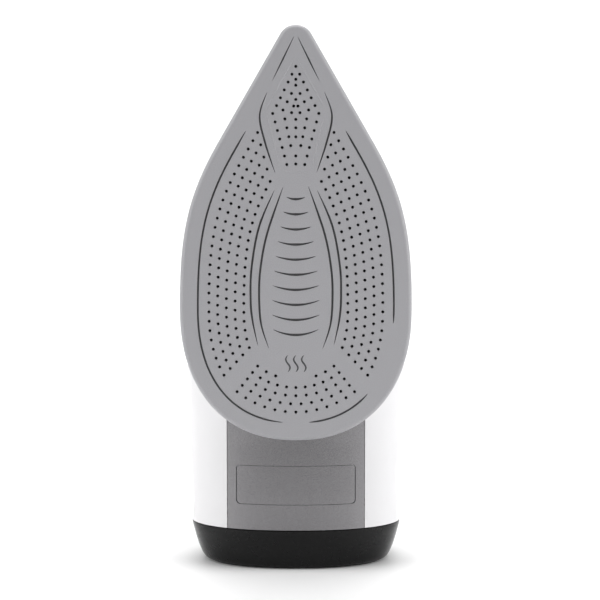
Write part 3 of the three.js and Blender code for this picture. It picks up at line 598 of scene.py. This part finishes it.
# Painted shade: the steam holes are blind, and their lower walls and floor are coloured near black to stand
# for the shade down a hole.
hole_painted_shade = painted_shade_ceramic("hole_painted_shade", (0.012, 0.012, 0.012))

for node, thing in frame["nodes"].items():
    thing.data.materials.clear()
    thing.data.materials.append(look[slot_of[node]])

# ---------------------------------------------------------------- soleplate


def mirrored(points):
    return [p for x, z in points for p in ([(x, z), (-x, z)] if abs(x) > 0.05 else [(0.0, z)])]


def steam_holes():
    """Centres of the steam holes, as (x, z) measured from the sole's heel."""
    points = []
    for j in range(5):
        curve = inset_half_outline(15.4 + 4.6 * j, 900)
        start = np.argmax(curve[:, 1] > 35.4 + 1.09 * (37.4 - curve[:, 0]))
        end = np.argmax(curve[:, 1] > 163.3 - 3.9 * (20.2 - curve[:, 0]))
        points += [tuple(p) for p in evenly(curve[start : end + 1], 28 - 2 * j)]
        count = (13, 12, 11, 11, 9)[j]
        radius = 49.7 - 4.36 * j
        for k in range(count):
            turn = math.radians(38.6) * (2 * k / (count - 1) - 1)
            blank = j == 4 and abs(k - (count - 1) / 2) < 1.5
            if not blank and turn >= -1e-9:
                points.append((radius * math.sin(turn), 65 - radius * math.cos(turn)))

    def kite(top, wide_x, wide_z, bottom_x, bottom_z, upper, lower):
        for k in range(upper + 1):
            points.append((wide_x * k / upper, top + (wide_z - top) * k / upper))
        for k in range(1, lower + 1):
            share = k / lower
            points.append((wide_x + (bottom_x - wide_x) * share, wide_z + (bottom_z - wide_z) * share))

    kite(197.3, 12.06, 172.8, 4.7, 146.1, 6, 6)
    kite(187.5, 6.7, 174.6, 2.65, 156, 3, 4)
    kite(180.1, 2.2, 173.2, 0, 169.7, 2, 1)
    points.extend((0, z) for z in (190.6, 165.3, 160.6, 150.6, 146.4))
    return mirrored(points)


def tapered(width, taper):
    """A groove's half width along its length, closing to a point over `taper` of it at each end."""
    return lambda t: width / 2 * min(1.0, (min(t, 1 - t) / taper) ** 0.6 if taper else 1.0)


def grooves():
    """(centre points, half width along them, depth, material index) of each line on the sole's face."""
    # Material index 1 gives a line painted shade in its groove. Index 0 keeps the face's ceramic, as on the
    # raised lines.
    lines = []

    def both_sides(points, width, depth, taper, material=1, count=40):
        path = evenly(smooth_line(points, 60), count)
        for side in (1, -1):
            lines.append((path * (side, 1), tapered(width, taper), depth, material))

    both_sides([(0.9, 213), (6.6, 201.3), (12.4, 189.6)], 0.8, 0.5, 0.5)
    both_sides([(14.9, 184.2), (18.9, 171.8), (16.2, 158), (10.8, 141.5)], 1.0, 0.5, 0.35)
    inner_pair = [(6.5, 134.9), (15.1, 109.8), (18.7, 90.5), (19.3, 75.3), (18.2, 61.7), (14.1, 48.8)]
    outer_pair = [(11.1, 132.9), (19.2, 113.8), (23.2, 92.5), (23.8, 75.3), (22.8, 63.8), (20, 50.6)]
    for pair in (inner_pair, outer_pair):
        both_sides(pair, 1.1, 0.6, 0.2, 1, 70)
    for k in range(10):
        z = 128.5 - 7.85 * k
        swell = math.sin(math.pi / 2 * min(1.0, (k + 1) / 8.5))
        half = 3.2 + 9.5 * swell - (0.5 if k == 9 else 0)
        sag = 1.1 + 1.9 * k / 9
        share = np.linspace(-1, 1, 26)
        path = np.column_stack([half * share, z + sag * (share**2 - 0.5)])
        lines.append((path, tapered(1.35, 0.5), 0.6, 1))
    contour = inset_half_outline(9.6, 1200)
    low = int(np.argmax(contour[:, 0] > 6.5))
    high = int(np.argmax((contour[:, 1] > 60) & (contour[:, 0] < 26)))
    whole = contour[low:high]
    lines.append((evenly(whole * (-1, 1), 150), tapered(1.0, 0.05), 0.6, 1))
    upper = whole[whole[:, 1] > 62.2]
    lower = whole[(whole[:, 1] < 25.2)]
    lines.append((evenly(upper, 110), tapered(1.0, 0.05), 0.6, 1))
    lines.append((evenly(lower, 40), tapered(1.0, 0.15), 0.6, 1))
    both_sides([(0.5, 202.4), (8.2, 188.2), (15.5, 175.0)], 0.7, -0.14, 0.04, 0, 20)
    both_sides([(15.2, 173.6), (11.6, 158.4), (8.2, 144.5)], 0.7, -0.14, 0.04, 0, 20)
    lines.append((evenly([(-6.6, 142.4), (6.6, 142.4)], 14), tapered(0.7, 0.08), -0.14, 0))
    for k in range(3):
        share = np.linspace(0, 1, 28)
        wave = 1.1 * np.sin(2 * math.pi * share)
        steam = np.column_stack([(k - 1) * 4.2 + wave, 36.6 + 9 * share])
        lines.append((steam, tapered(0.9, 0.25), 0.25, 1))
    return lines


def strip(path, half_width):
    """The outline of a line that follows path: up one side and down the other."""
    along = np.gradient(path, axis=0)
    along /= np.linalg.norm(along, axis=1)[:, None]
    normal = np.column_stack([-along[:, 1], along[:, 0]])
    t = np.linspace(0, 1, len(path))
    half = np.array([half_width(s) for s in t])[:, None]
    left, right = path + normal * half, path - normal * half
    return np.vstack([path[:1], left[1:-1], path[-1:], right[1:-1][::-1]])


def sole_skin():
    """The soleplate as one mesh: face with grooves and steam holes, rounded rim, sides and back."""
    sides = 18 if FINE == 1 else 10
    face_count = steps(420)
    points, edges, depth = [], [], []

    def loop(ring, y):
        start = len(points)
        points.extend(tuple(p) for p in ring)
        depth.extend([y] * len(ring))
        edges.extend((start + i, start + (i + 1) % len(ring)) for i in range(len(ring)))
        return list(range(start, start + len(ring)))

    rim_loop = loop(sole_outline(SOLE_RIM, face_count) - (0, HEEL_Z), 0)
    loop(sole_outline(SOLE_RIM + 0.6, face_count) - (0, HEEL_Z), 0)
    holes = np.array(steam_holes())
    turn = np.linspace(0, 2 * math.pi, sides, endpoint=False)
    circle = np.column_stack([np.cos(turn), np.sin(turn)])
    mouth_radius = HOLE_RADIUS + HOLE_CHAMFER
    hole_loops = [loop(centre + circle * mouth_radius, 0) for centre in holes]
    dark = []
    for path, half_width, deep, material in grooves():
        loop(strip(path, half_width), 0)
        inner = strip(path[1:-1], lambda t: 0.45 * half_width(t))
        loop(inner, deep)
        dark.append((strip(path, half_width), material))

    flat = [Vector(p) for p in points]
    out, _, tris, source, _, _ = geometry.delaunay_2d_cdt(flat, edges, [], 0, 1e-5, True)
    out = np.array([tuple(p) for p in out])
    level = np.array([max((depth[k] for k in ids), key=abs) if ids else 0.0 for ids in source])
    index_of = {k: i for i, ids in enumerate(source) for k in ids}
    outline = sole_outline(SOLE_RIM, face_count) - (0, HEEL_Z)

    def inside(polygon, p):
        a, b = polygon, np.roll(polygon, -1, axis=0)
        crosses = (a[:, 1] > p[1]) != (b[:, 1] > p[1])
        with np.errstate(divide="ignore", invalid="ignore"):
            at = (b[:, 0] - a[:, 0]) * (p[1] - a[:, 1]) / (b[:, 1] - a[:, 1]) + a[:, 0]
        return bool(np.sum(crosses & (p[0] < at)) % 2)

    open_radius = mouth_radius * math.cos(math.pi / sides)
    bounds = [(poly, poly.min(0), poly.max(0), material) for poly, material in dark]
    verts = [(p[0], y, p[1] + HEEL_Z) for p, y in zip(out, level)]
    faces, slots = [], []
    for tri in tris:
        middle = out[list(tri)].mean(0)
        if np.min(np.sum((holes - middle) ** 2, axis=1)) < open_radius**2 or not inside(outline, middle):
            continue
        slot = 0
        # Faces inside a groove's outline take its material, so slot 1 paints shade into the grooves.
        for poly, low, high, material in bounds:
            if material and np.all(middle > low) and np.all(middle < high) and inside(poly, middle):
                slot = material
        faces.append(tuple(tri))
        slots.append(slot)

    def wall(ring_a, ring_b, slot):
        n = len(ring_a)
        for i in range(n):
            faces.append((ring_a[i], ring_b[i], ring_b[(i + 1) % n], ring_a[(i + 1) % n]))
            slots.append(slot)

    def ring(xz, y):
        start = len(verts)
        verts.extend((x, y, z + HEEL_Z) for x, z in xz)
        return list(range(start, start + len(xz)))

    # Below the chamfer, the hole's wall and its floor take slot 2, which is painted near-black shade.
    for centre, top in zip(holes, hole_loops):
        top = [index_of[k] for k in top]
        mouth = ring(centre + circle * HOLE_RADIUS, HOLE_CHAMFER)
        floor = ring(centre + circle * HOLE_RADIUS, HOLE_DEPTH)
        wall(mouth, top, 0)
        wall(floor, mouth, 2)
        faces.append(tuple(floor))
        slots.append(2)

    edge = [index_of[k] for k in rim_loop]
    turns = [math.pi / 2 * k / 10 for k in range(1, 11)]
    profile = [(SOLE_RIM * (1 - math.sin(a)), SOLE_RIM * (1 - math.cos(a))) for a in turns]
    profile += [(0, SOLE_THICK - 0.5), (0.15, SOLE_THICK - 0.15), (0.5, SOLE_THICK)]
    for inset, y in profile:
        next_edge = ring(sole_outline(inset, face_count) - (0, HEEL_Z), y)
        wall(edge, next_edge, 0)
        edge = next_edge
    faces.append(tuple(edge))
    slots.append(0)
    thing = new_object("sole_skin", verts, faces)
    return thing, slots


def make_sole():
    thing, slots = sole_skin()
    mesh = thing.data
    mesh.materials.append(look["sole_coating"])
    # Slot 1: painted shade in the grooves.
    mesh.materials.append(groove_painted_shade)
    # Slot 2: painted shade inside the steam holes.
    mesh.materials.append(hole_painted_shade)
    mesh.polygons.foreach_set("material_index", slots)
    bm = bmesh.new()
    bm.from_mesh(mesh)
    bmesh.ops.recalc_face_normals(bm, faces=bm.faces)
    bm.to_mesh(mesh)
    bm.free()
    finished(thing, "sole_skin", "soleplate", None, 22)


# ---------------------------------------------------------------- body and handle forms

RING_POINTS = steps(160)


def body_half_width(z):
    width = 57.2 + (z - SEAM_Z) * 0.0183 if z < 142 else sole_half_width(z - HEEL_Z) - 1.8
    over = max(0.0, (z - (NOSE_Z - NOSE_RADIUS)) / (NOSE_RADIUS + 0.4))
    return width * math.sqrt(1 - over * over)


def body_ring(z, inset=0.0, scale=1.0, at_z=None):
    front, wide, top, front_power, top_power = between(z)
    half = max(body_half_width(z) - inset, 0.4)
    ring = []
    for turn in np.linspace(0, 2 * math.pi, RING_POINTS, endpoint=False):
        c, s = math.cos(turn), math.sin(turn)
        power = 2 / (front_power if s < 0 else top_power)
        reach = max((wide - front if s < 0 else top - wide) - inset, 0.4)
        x, y = half * signed_power(c, power), wide + reach * signed_power(s, power)
        ring.append((x * scale, 60 + (y - 60) * scale, z if at_z is None else at_z))
    return np.array(ring)


def body_form(inset=0.0, from_z=SEAM_Z + GAP):
    levels = np.concatenate([
        np.linspace(from_z, 130, steps(56), endpoint=False),
        np.linspace(130, NOSE_Z - NOSE_RADIUS, steps(60), endpoint=False),
        np.linspace(NOSE_Z - NOSE_RADIUS, NOSE_Z, 10),
    ])
    levels = [z for z in levels if z <= NOSE_Z - inset]
    return loft([body_ring(z, inset) for z in levels], "body")


def handle_at(station):
    """Centre, tangent and size of the handle at a station, as (z, y) pairs."""
    last = len(HANDLE_STATIONS) - 1
    share = min(max(station / last, 0.0), 1.0)
    a, b = max(share - 1e-4, 0), min(share + 1e-4, 1)
    centre = spline(HANDLE_STATIONS[:, :2], share)
    tangent = spline(HANDLE_STATIONS[:, :2], b) - spline(HANDLE_STATIONS[:, :2], a)
    tangent /= np.linalg.norm(tangent)
    centre = centre + tangent * (station / last - share) * 200
    return centre, tangent, spline(HANDLE_STATIONS[:, 2:], share)


def beside_handle(station, out):
    centre, tangent, _ = handle_at(station)
    return centre[0] - tangent[1] * out, centre[1] + tangent[0] * out


def handle_form(inset=0.0):
    last = len(HANDLE_STATIONS) - 1
    rings = []
    for station in np.linspace(0, last, steps(110)):
        size = handle_at(station)[2]
        ring = []
        for turn in np.linspace(0, 2 * math.pi, steps(96), endpoint=False):
            across = (size[1] - inset) * signed_power(math.cos(turn), 2 / HANDLE_POWER)
            rise = (size[0] - inset) * signed_power(math.sin(turn), 2 / HANDLE_POWER)
            z, y = beside_handle(station, rise)
            ring.append((across, y, z))
        rings.append(np.array(ring)[::-1])
    return loft(rings, "handle")


def handle_strip(start, end, low, half=60.0):
    count = max(3, int((end - start) * 12))
    stations = np.linspace(start, end, count)
    inner = [beside_handle(s, low) for s in stations]
    outer = [beside_handle(s, 24) for s in stations[::-1]]
    return prism(inner + outer, half)


def shifted(points, dz, dy):
    return [(z + dz, y + dy) for z, y in points]


DECK_CURVE = smooth_line(DECK_LINE, 60)
TANK_CURVE = smooth_line(TANK_LINE, 50)


def above_deck(gap):
    return prism(shifted(DECK_CURVE, 0, gap) + [(300, 24), (300, 200), (0, 200), (0, 86)])


def below_deck(gap):
    return prism(shifted(DECK_CURVE, 0, gap) + [(300, 24), (300, -50), (-20, -50), (-20, 86)])


def tank_zone(grow):
    far = TANK_NOSE_Z + grow
    low = [p for p in shifted(TANK_CURVE, -grow, -grow) if p[0] < far - 1]
    zone = prism(low + [(far, 28 - grow), (far, 90), (110 - grow, 90)])
    return cut(zone, above_deck(grow - GAP / 2))


def skirt(grow=0.0):
    rounded = 0.8 if grow == 0 else 0.0
    full = plate(SKIRT_INSET - grow, SKIRT_LOW - grow, SKIRT_HIGH, rounded)
    return cut(full, prism([(240, 36), (268, 21.5), (292, 11), (292, 60), (240, 60)]))


def outer_body():
    return joined(body_form(), skirt())


def seat(station, out):
    """A place on the handle: its point and its outward and forward directions."""
    z, y = beside_handle(station, out)
    z1, y1 = beside_handle(station, out + 1)
    return np.array((0, y, z)), np.array((0, y1 - y, z1 - z)), np.array((0, -(z1 - z), y1 - y))


def thickness_at(station):
    return float(handle_at(station)[2][0])


BUTTON_SEAT = seat(BUTTONS_AT, thickness_at(BUTTONS_AT))
SLIDER_SEAT = seat(SLIDER_AT, thickness_at(SLIDER_AT))
HINGE_SEAT = seat(HINGE_AT, thickness_at(HINGE_AT) - 2.9)
NOZZLE_SEAT = seat(NOZZLE_AT, thickness_at(NOZZLE_AT))
GLAND_SEAT = seat(GLAND_AT, thickness_at(GLAND_AT) - 4)


def seat_point(place, x, out, ahead=0.0):
    origin, outward, forward = place
    return origin + outward * out + forward * ahead + np.array((x, 0, 0))


def seated_bar(place, x, radius, low, high, sides=56):
    return bar(seat_point(place, x, low), seat_point(place, x, high), radius, sides)


def seated_block(place, x, half_x, low, high, half_ahead):
    """A box on a seat."""
    rings = []
    signs = ((-1, 1), (1, 1), (1, -1), (-1, -1))
    corners = [(sx * half_x, sa * half_ahead) for sx, sa in signs]
    for out in (low, high):
        rings.append(np.array([seat_point(place, x + dx, out, ahead) for dx, ahead in corners]))
    return loft(rings, "block")


def bar_across(place, radius, half, sides=40):
    return bar(seat_point(place, -half, 0), seat_point(place, half, 0), radius, sides)



def cover_form(start, end, gap):
    return common(handle_form(-gap), handle_strip(start, end, 1 - gap))


def door_zone(gap):
    half = DOOR_HALF + gap
    width = block(-half, half, 40, 150, 150, 300)
    leaf_zone = common(handle_strip(HINGE_AT, DOOR_END + gap / 26, 5), width)
    return joined(leaf_zone, bar_across(HINGE_SEAT, BARREL_RADIUS + 2.4 * gap, half))


# ---------------------------------------------------------------- casings


def pocket():
    flat = cut(plate(4.8, -20, 19.1), block(-80, 80, -50, 150, 266, 320))
    return joined(flat, plate(-1.5, -20, SKIRT_LOW))


def panel_zone(gap):
    half = PANEL_HALF + gap
    return cut(block(-half, half, -5, 30, 20, 100), skirt(GAP - gap))


def make_main_shell():
    skin = cut(body_form(-1), body_form(WALL + GAP))
    opening = common(skin, panel_zone(GAP))
    cavity = cut(body_form(WALL, SEAM_Z - 4), plate(3, -20, 21.5), block(-80, 80, -50, 150, 270, 320))
    shell = cut(outer_body(), above_deck(-GAP / 2), tank_zone(GAP), cavity, pocket(), opening)
    finished(shell, "shell_skin", "main_shell", look["white_plastic"])


def make_rear_panel():
    skin = common(cut(body_form(), body_form(WALL, 10)), panel_zone(0))
    line = 0.55
    rings = []
    for half, low, high in (
        (LABEL_HALF, LABEL_LOW, LABEL_HIGH),
        (LABEL_HALF - line, LABEL_LOW + line, LABEL_HIGH - line),
    ):
        rings.append(rounded_block(half, low, high, 2.2 if half == LABEL_HALF else 2.2 - line))
    frame_line = cut(rings[0], rings[1])
    frame_line = cut(frame_line, body_form(0.5, 10))
    finished(cut(skin, pocket(), frame_line), "panel_skin", "rear_panel", look["silver_plastic"])


def rounded_block(half, low, high, radius):
    """A block through the rear panel with rounded corners, seen from the front."""
    outline = []
    for cx, cz, start in (
        (half - radius, high - radius, 0),
        (-half + radius, high - radius, 90),
        (-half + radius, low + radius, 180),
        (half - radius, low + radius, 270),
    ):
        for turn in np.radians(np.linspace(start, start + 90, 9)):
            outline.append((cx + radius * math.cos(turn), cz + radius * math.sin(turn)))
    rings = [np.array([(x, y, z) for x, z in outline]) for y in (30, -5)]
    return loft(rings, "rounded block")


HEEL_PROFILE = [(1.2, 0.862), (1.5, 0.872), (2.2, 0.884), (4, 0.903), (8, 0.932), (13, 0.96), (18, 0.983),
                (21.2, 0.997), (21.75, 0.996), (22, 0.992)]


def heel_ring(z, scale):
    return body_ring(22, 0, scale, z)


def make_heel():
    outer = loft([heel_ring(z, scale) for z, scale in HEEL_PROFILE])
    inner = loft([heel_ring(z, scale) for z, scale in ((5, 0.865), (12, 0.925), (26, 0.955))])
    pad_track = loft([heel_ring(z, 0.835 + GAP / 58) for z in (-3, 2.7)])
    finished(cut(outer, inner, pad_track), "heel_skin", "heel_base", look["black_plastic"])
    pad = loft([heel_ring(z, scale) for z, scale in ((0, 0.822), (0.3, 0.831), (0.8, 0.835), (2.4, 0.835))])
    finished(pad, "pad_skin", "heel_pad", look["heat_resistant_black"])


def make_tank():
    skin = common(body_form(), tank_zone(0))
    hollow = common(body_form(2), tank_zone(-2))
    tank = cut(skin, hollow)
    neck = bar((0, 42.5, NECK_Z), (0, 70, NECK_Z), NECK_OUTER)
    well = bar((ROD_X, 29.5, ROD_Z), (ROD_X, 55, ROD_Z), 4)
    tank = joined(tank, neck, well)
    neck_bore = bar((0, 38, NECK_Z), (0, 90, NECK_Z), NECK_INNER)
    tank = cut(tank, neck_bore, bar((ROD_X, 10, ROD_Z), (ROD_X, 90, ROD_Z), 2.4))
    finished(tank, "tank_skin", "water_tank", look["smoky_plastic"])


def make_housing():
    outer = joined(handle_form(), common(outer_body(), above_deck(GAP / 2)))
    shell = cut(
        outer,
        common(body_form(WALL, SEAM_Z - 4), above_deck(-3)),
        handle_form(WALL),
        below_deck(GAP / 2),
        cover_form(COVER_START, BEZEL_END, GAP),
        door_zone(GAP),
        block(-80, 80, 0, 200, -20, SEAM_Z + GAP),
        bar_across(HINGE_SEAT, 1, DOOR_HALF + 2.6),
        seated_bar(NOZZLE_SEAT, 0, 4.6, -12, 6),
        bar((0, 60, DIAL_Z), (0, 90, DIAL_Z), 4),
        bar((ROD_X, 50, ROD_Z), (ROD_X, 80, ROD_Z), 2.6),
        bar((0, 60, LAMP_Z), (0, 90, LAMP_Z), 3.3),
    )
    finished(shell, "housing_skin", "handle_housing", look["white_plastic"])


def ball(centre, radius, sides=48):
    turns = np.linspace(0.02, math.pi - 0.02, sides // 2)
    profile = [(-radius * math.cos(a), radius * math.sin(a)) for a in turns]
    return turned(profile, centre, (0, 0, 1), sides)


def make_grip():
    grip = cover_form(COVER_START, COVER_END - 0.008, 0)
    grip = cut(grip, handle_form(WALL), ball(GLAND_SEAT[0], 9.5))
    finished(grip, "grip_skin", "grip_cover", look["soft_grip"])


def make_bezel():
    bezel = cut(cover_form(COVER_END, BEZEL_END - 0.012, 0), handle_form(WALL))
    for side in (-1, 1):
        bezel = cut(bezel, seated_bar(BUTTON_SEAT, side * BUTTON_X, BUTTON_RADIUS + GAP, -9, 6))
    bezel = cut(bezel, seated_block(SLIDER_SEAT, 0, SLIDER_SLOT_HALF, -10, 10, 2.5))
    finished(bezel, "bezel_skin", "button_bezel", look["grey_plastic"])


def make_door():
    leaf = cut(common(handle_form(), door_zone(0)), handle_form(2))
    leaf = joined(leaf, bar_across(HINGE_SEAT, BARREL_RADIUS, DOOR_HALF))
    leaf = cut(leaf, bar_across(HINGE_SEAT, PIN_BORE, 40))
    finished(leaf, "door_skin", "filler_door", look["smoky_plastic"])


def spun(profile, place, x=0.0, sides=64):
    """A solid of revolution on a seat, from (radius, distance out) pairs."""
    start = seat_point(place, x, 0)
    return turned([(out, max(radius, 0.02)) for radius, out in profile], start, place[1], sides)


def arc(radius, low, high, count=7):
    """Quarter-round from the rim (radius, low) towards a smaller radius at height high."""
    turns = [math.pi / 2 * k / (count - 1) for k in range(count)]
    reach = high - low
    return [(radius - reach * (1 - math.cos(a)), low + reach * math.sin(a)) for a in turns]


def make_button(name, side, height, marks):
    crown = [(r, height - 0.25 - 0.9 * (1 - (r / 5) ** 2)) for r in (4.4, 3.2, 2, 0.8, 0.02)]
    skirt_line = [(0.02, BUTTON_FOOT), (BUTTON_RADIUS, BUTTON_FOOT)]
    edge = arc(BUTTON_RADIUS, height - 1.3, height)
    cap = spun(skirt_line + edge + crown, BUTTON_SEAT, side * BUTTON_X)
    for x, ahead, radius in marks:
        start = seat_point(BUTTON_SEAT, side * BUTTON_X + x, height - 1.6, ahead)
        cap = joined(cap, ball(start + BUTTON_SEAT[1] * 0.62, radius, 20))
    finished(cap, name + "_skin", name, look["white_plastic"])


def make_spring(name, side):
    """A return spring under its button: a coil of round wire from its foot up to its head."""
    coils, per_coil = 5, 28
    foot, wire = SPRING_FOOT, SPRING_WIRE
    steps_along = coils * per_coil
    rings = []
    for k in range(steps_along + 1):
        share = k / steps_along
        turn = 2 * math.pi * coils * share
        out = foot + wire + (SPRING_HEAD - foot - 2 * wire) * share
        across, ahead = SPRING_RADIUS * math.cos(turn), SPRING_RADIUS * math.sin(turn)
        centre = seat_point(BUTTON_SEAT, side * BUTTON_X + across, out, ahead)
        radial = np.array((math.cos(turn), 0, 0)) + BUTTON_SEAT[2] * math.sin(turn)
        around = np.linspace(0, 2 * math.pi, 10, endpoint=False)
        section = np.outer(np.cos(around), radial) + np.outer(np.sin(around), BUTTON_SEAT[1])
        rings.append(centre + wire * section)
    spring = finished(loft(rings, "spring"), name + "_skin", name, look["steel"])
    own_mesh(spring)


def make_slider():
    knob = seated_block(SLIDER_SEAT, SLIDER_X, SLIDER_KNOB_HALF, -9, 3.4, 2.15)
    for k in range(-2, 3):
        rib = seat_point(SLIDER_SEAT, SLIDER_X + 1.35 * k, 3.4)
        ends = [rib + SLIDER_SEAT[2] * 3 * side for side in (-1, 1)]
        knob = cut(knob, bar(ends[0], ends[1], 0.42, 16))
    foot = seated_block(SLIDER_SEAT, SLIDER_X, 7.5, -10.4, -8.8, 4)
    finished(joined(knob, foot), "slider_skin", "steam_slider", look["white_plastic"])


def make_nozzle():
    stem = [(0.5, -11), (3.2, -11), (3.2, -4), (4.3, -4), (4.3, 1.2)]
    flange = [(6.2, 1.5), (6.4, 1.8), (6.3, 2.3), (5.7, 3.2), (4.6, 3.9), (3.2, 4.25), (2.6, 4.4)]
    mouth = [(1.9, 4.3), (1.5, 3.7), (0.9, 3.3), (0.5, 3.3)]
    nozzle = cut(spun(stem + flange + mouth, NOZZLE_SEAT), seated_bar(NOZZLE_SEAT, 0, 0.45, -12, 5, 16))
    finished(nozzle, "nozzle_skin", "spray_nozzle", look["white_plastic"])


def make_gland():
    turns = np.linspace(0.03, math.pi - 0.03, 40)
    gland = spun([(GLAND_RADIUS * math.sin(a), -GLAND_RADIUS * math.cos(a)) for a in turns], GLAND_SEAT)
    ribs = [(6, 8.3), (5.6, 8.5), (5.6, 9.1), (6, 9.3), (6, 10), (5.6, 10.2), (5.6, 10.8), (6, 11)]
    collar = [(0.02, 4), (6, 4)] + ribs + [(6, 11.6), (5.6, 12), (0.02, 12)]
    gland = joined(gland, spun(collar, GLAND_SEAT))
    gland = cut(gland, seated_bar(GLAND_SEAT, 0, GLAND_BORE, -20, 20))
    finished(gland, "gland_skin", "cord_gland", look["heat_resistant_black"])


def make_dial():
    turn = np.linspace(0, 2 * math.pi, 320, endpoint=False)

    def fluted(y, radius, depth):
        r = radius - depth * (0.5 - 0.5 * np.cos(DIAL_FLUTES * turn)) ** 0.7
        return np.column_stack([r * np.cos(turn), np.full(len(turn), y), DIAL_Z - r * np.sin(turn)])

    high = DIAL_HIGH
    skirt_rings = [(DIAL_LOW, DIAL_RADIUS - 0.5, 0.7), (DIAL_LOW + 0.4, DIAL_RADIUS, 0.8)]
    skirt_rings += [(high - 2.4, DIAL_RADIUS, 0.8), (high - 1.8, 16.1, 0.7), (high - 1.6, 15.4, 0.4)]
    crown = [(1.6, 13.9), (0.5, 13.9), (0.1, 13.5), (0, 12.9), (0, 11), (0.35, 9.5), (0.5, 6), (0.5, 1)]
    knob = loft([fluted(*ring) for ring in skirt_rings] + [fluted(high - drop, r, 0) for drop, r in crown])
    knob = joined(knob, rounded_bar((0, high - 0.5, DIAL_Z + 4), (0, high - 0.5, DIAL_Z + 12.4), 1.15))
    for k in range(1, 9):
        angle = math.radians(30 * k + 45)
        dot = (9.8 * math.sin(angle), high - 0.5, DIAL_Z + 9.8 * math.cos(angle))
        knob = joined(knob, ball(dot, 0.35 + 0.06 * k, 16))
    knob = cut(knob, bar((0, 60, DIAL_Z), (0, high - 2, DIAL_Z), 2.8))
    finished(knob, "dial_skin", "temperature_dial", look["grey_plastic"])


def rounded_bar(a, b, radius):
    return joined(bar(a, b, radius, 24), ball(a, radius, 24), ball(b, radius, 24))


def make_lamp():
    profile = [(0, 4), (1.2, 4), (1.2, 3), (6.1, 3), (6.45, 2.8), (6.7, 2.2), (6.8, 1.2), (6.82, 0.05)]
    lamp = turned(profile, (0, LAMP_LOW, LAMP_Z), (0, 1, 0), 40)
    finished(lamp, "lamp_skin", "indicator_lamp", look["lamp_lens"])


make_sole()
make_main_shell()
make_rear_panel()
make_heel()
make_tank()
make_housing()
make_grip()
make_bezel()
make_door()
make_button("spray_button", -1, 4.6, [(-1.6, 0, 0.45), (0, 1.2, 0.45), (0, -1.2, 0.45), (1.6, 0, 0.45)])
make_button("burst_button", 1, 5.8, [(0, 1.9, 0.6), (0, 0, 0.6), (0, -1.9, 0.6)])
make_spring("spray_spring", -1)
make_spring("burst_spring", 1)
make_slider()
make_nozzle()
make_gland()
make_dial()
make_lamp()

# ---------------------------------------------------------------- studio


def make_stage():
    mesh_verts = []
    rows = []
    for k in range(25):
        turn = math.pi / 2 * k / 24
        rows.append((1.6 + 0.8 * math.sin(turn), 0.8 * (1 - math.cos(turn))))
    profile = [(-3.0, 0.0), (1.2, 0.0)] + rows + [(2.4, 4.0)]
    for y, z in profile:
        mesh_verts += [(-4, y, z), (4, y, z)]
    faces = [(2 * i, 2 * i + 1, 2 * i + 3, 2 * i + 2) for i in range(len(profile) - 1)]
    floor = new_object("floor", mesh_verts, faces)
    floor.data.shade_smooth()
    made = Shader("floor", (0.93, 0.93, 0.93), 0.6)
    made.color(made.noise(3, 2), (0.925, 0.925, 0.925), (0.935, 0.935, 0.935))
    floor.data.materials.append(made.material)


def area_light(name, place, target, size, power):
    data = bpy.data.lights.new(name, "AREA")
    data.shape = "RECTANGLE"
    data.size, data.size_y = size
    data.energy = power
    lamp = bpy.data.objects.new(name, data)
    lamp.location = place
    lamp.rotation_euler = (Vector(target) - Vector(place)).to_track_quat("-Z", "Y").to_euler()
    bpy.context.scene.collection.objects.link(lamp)


def make_lights():
    world = bpy.data.worlds.new("studio")
    world.use_nodes = True
    world.node_tree.nodes["Background"].inputs["Color"].default_value = (1, 1, 1, 1)
    world.node_tree.nodes["Background"].inputs["Strength"].default_value = 0.05
    bpy.context.scene.world = world
    aim = (0, 0, 0.2)
    area_light("left", (-1.15, -0.42, 0.72), aim, (1.15, 1.4), 14)
    area_light("right", (1.15, -0.42, 0.72), aim, (1.15, 1.4), 15.5)
    area_light("top", (0, 0.1, 1.7), (0, 0.1, 0), (1.8, 1.4), 20)
    area_light("backdrop", (0, 0.9, 1.9), (0, 2.2, 0.5), (1.3, 0.8), 34)


make_stage()
make_lights()
bpy.context.scene.view_settings.view_transform = "Standard"
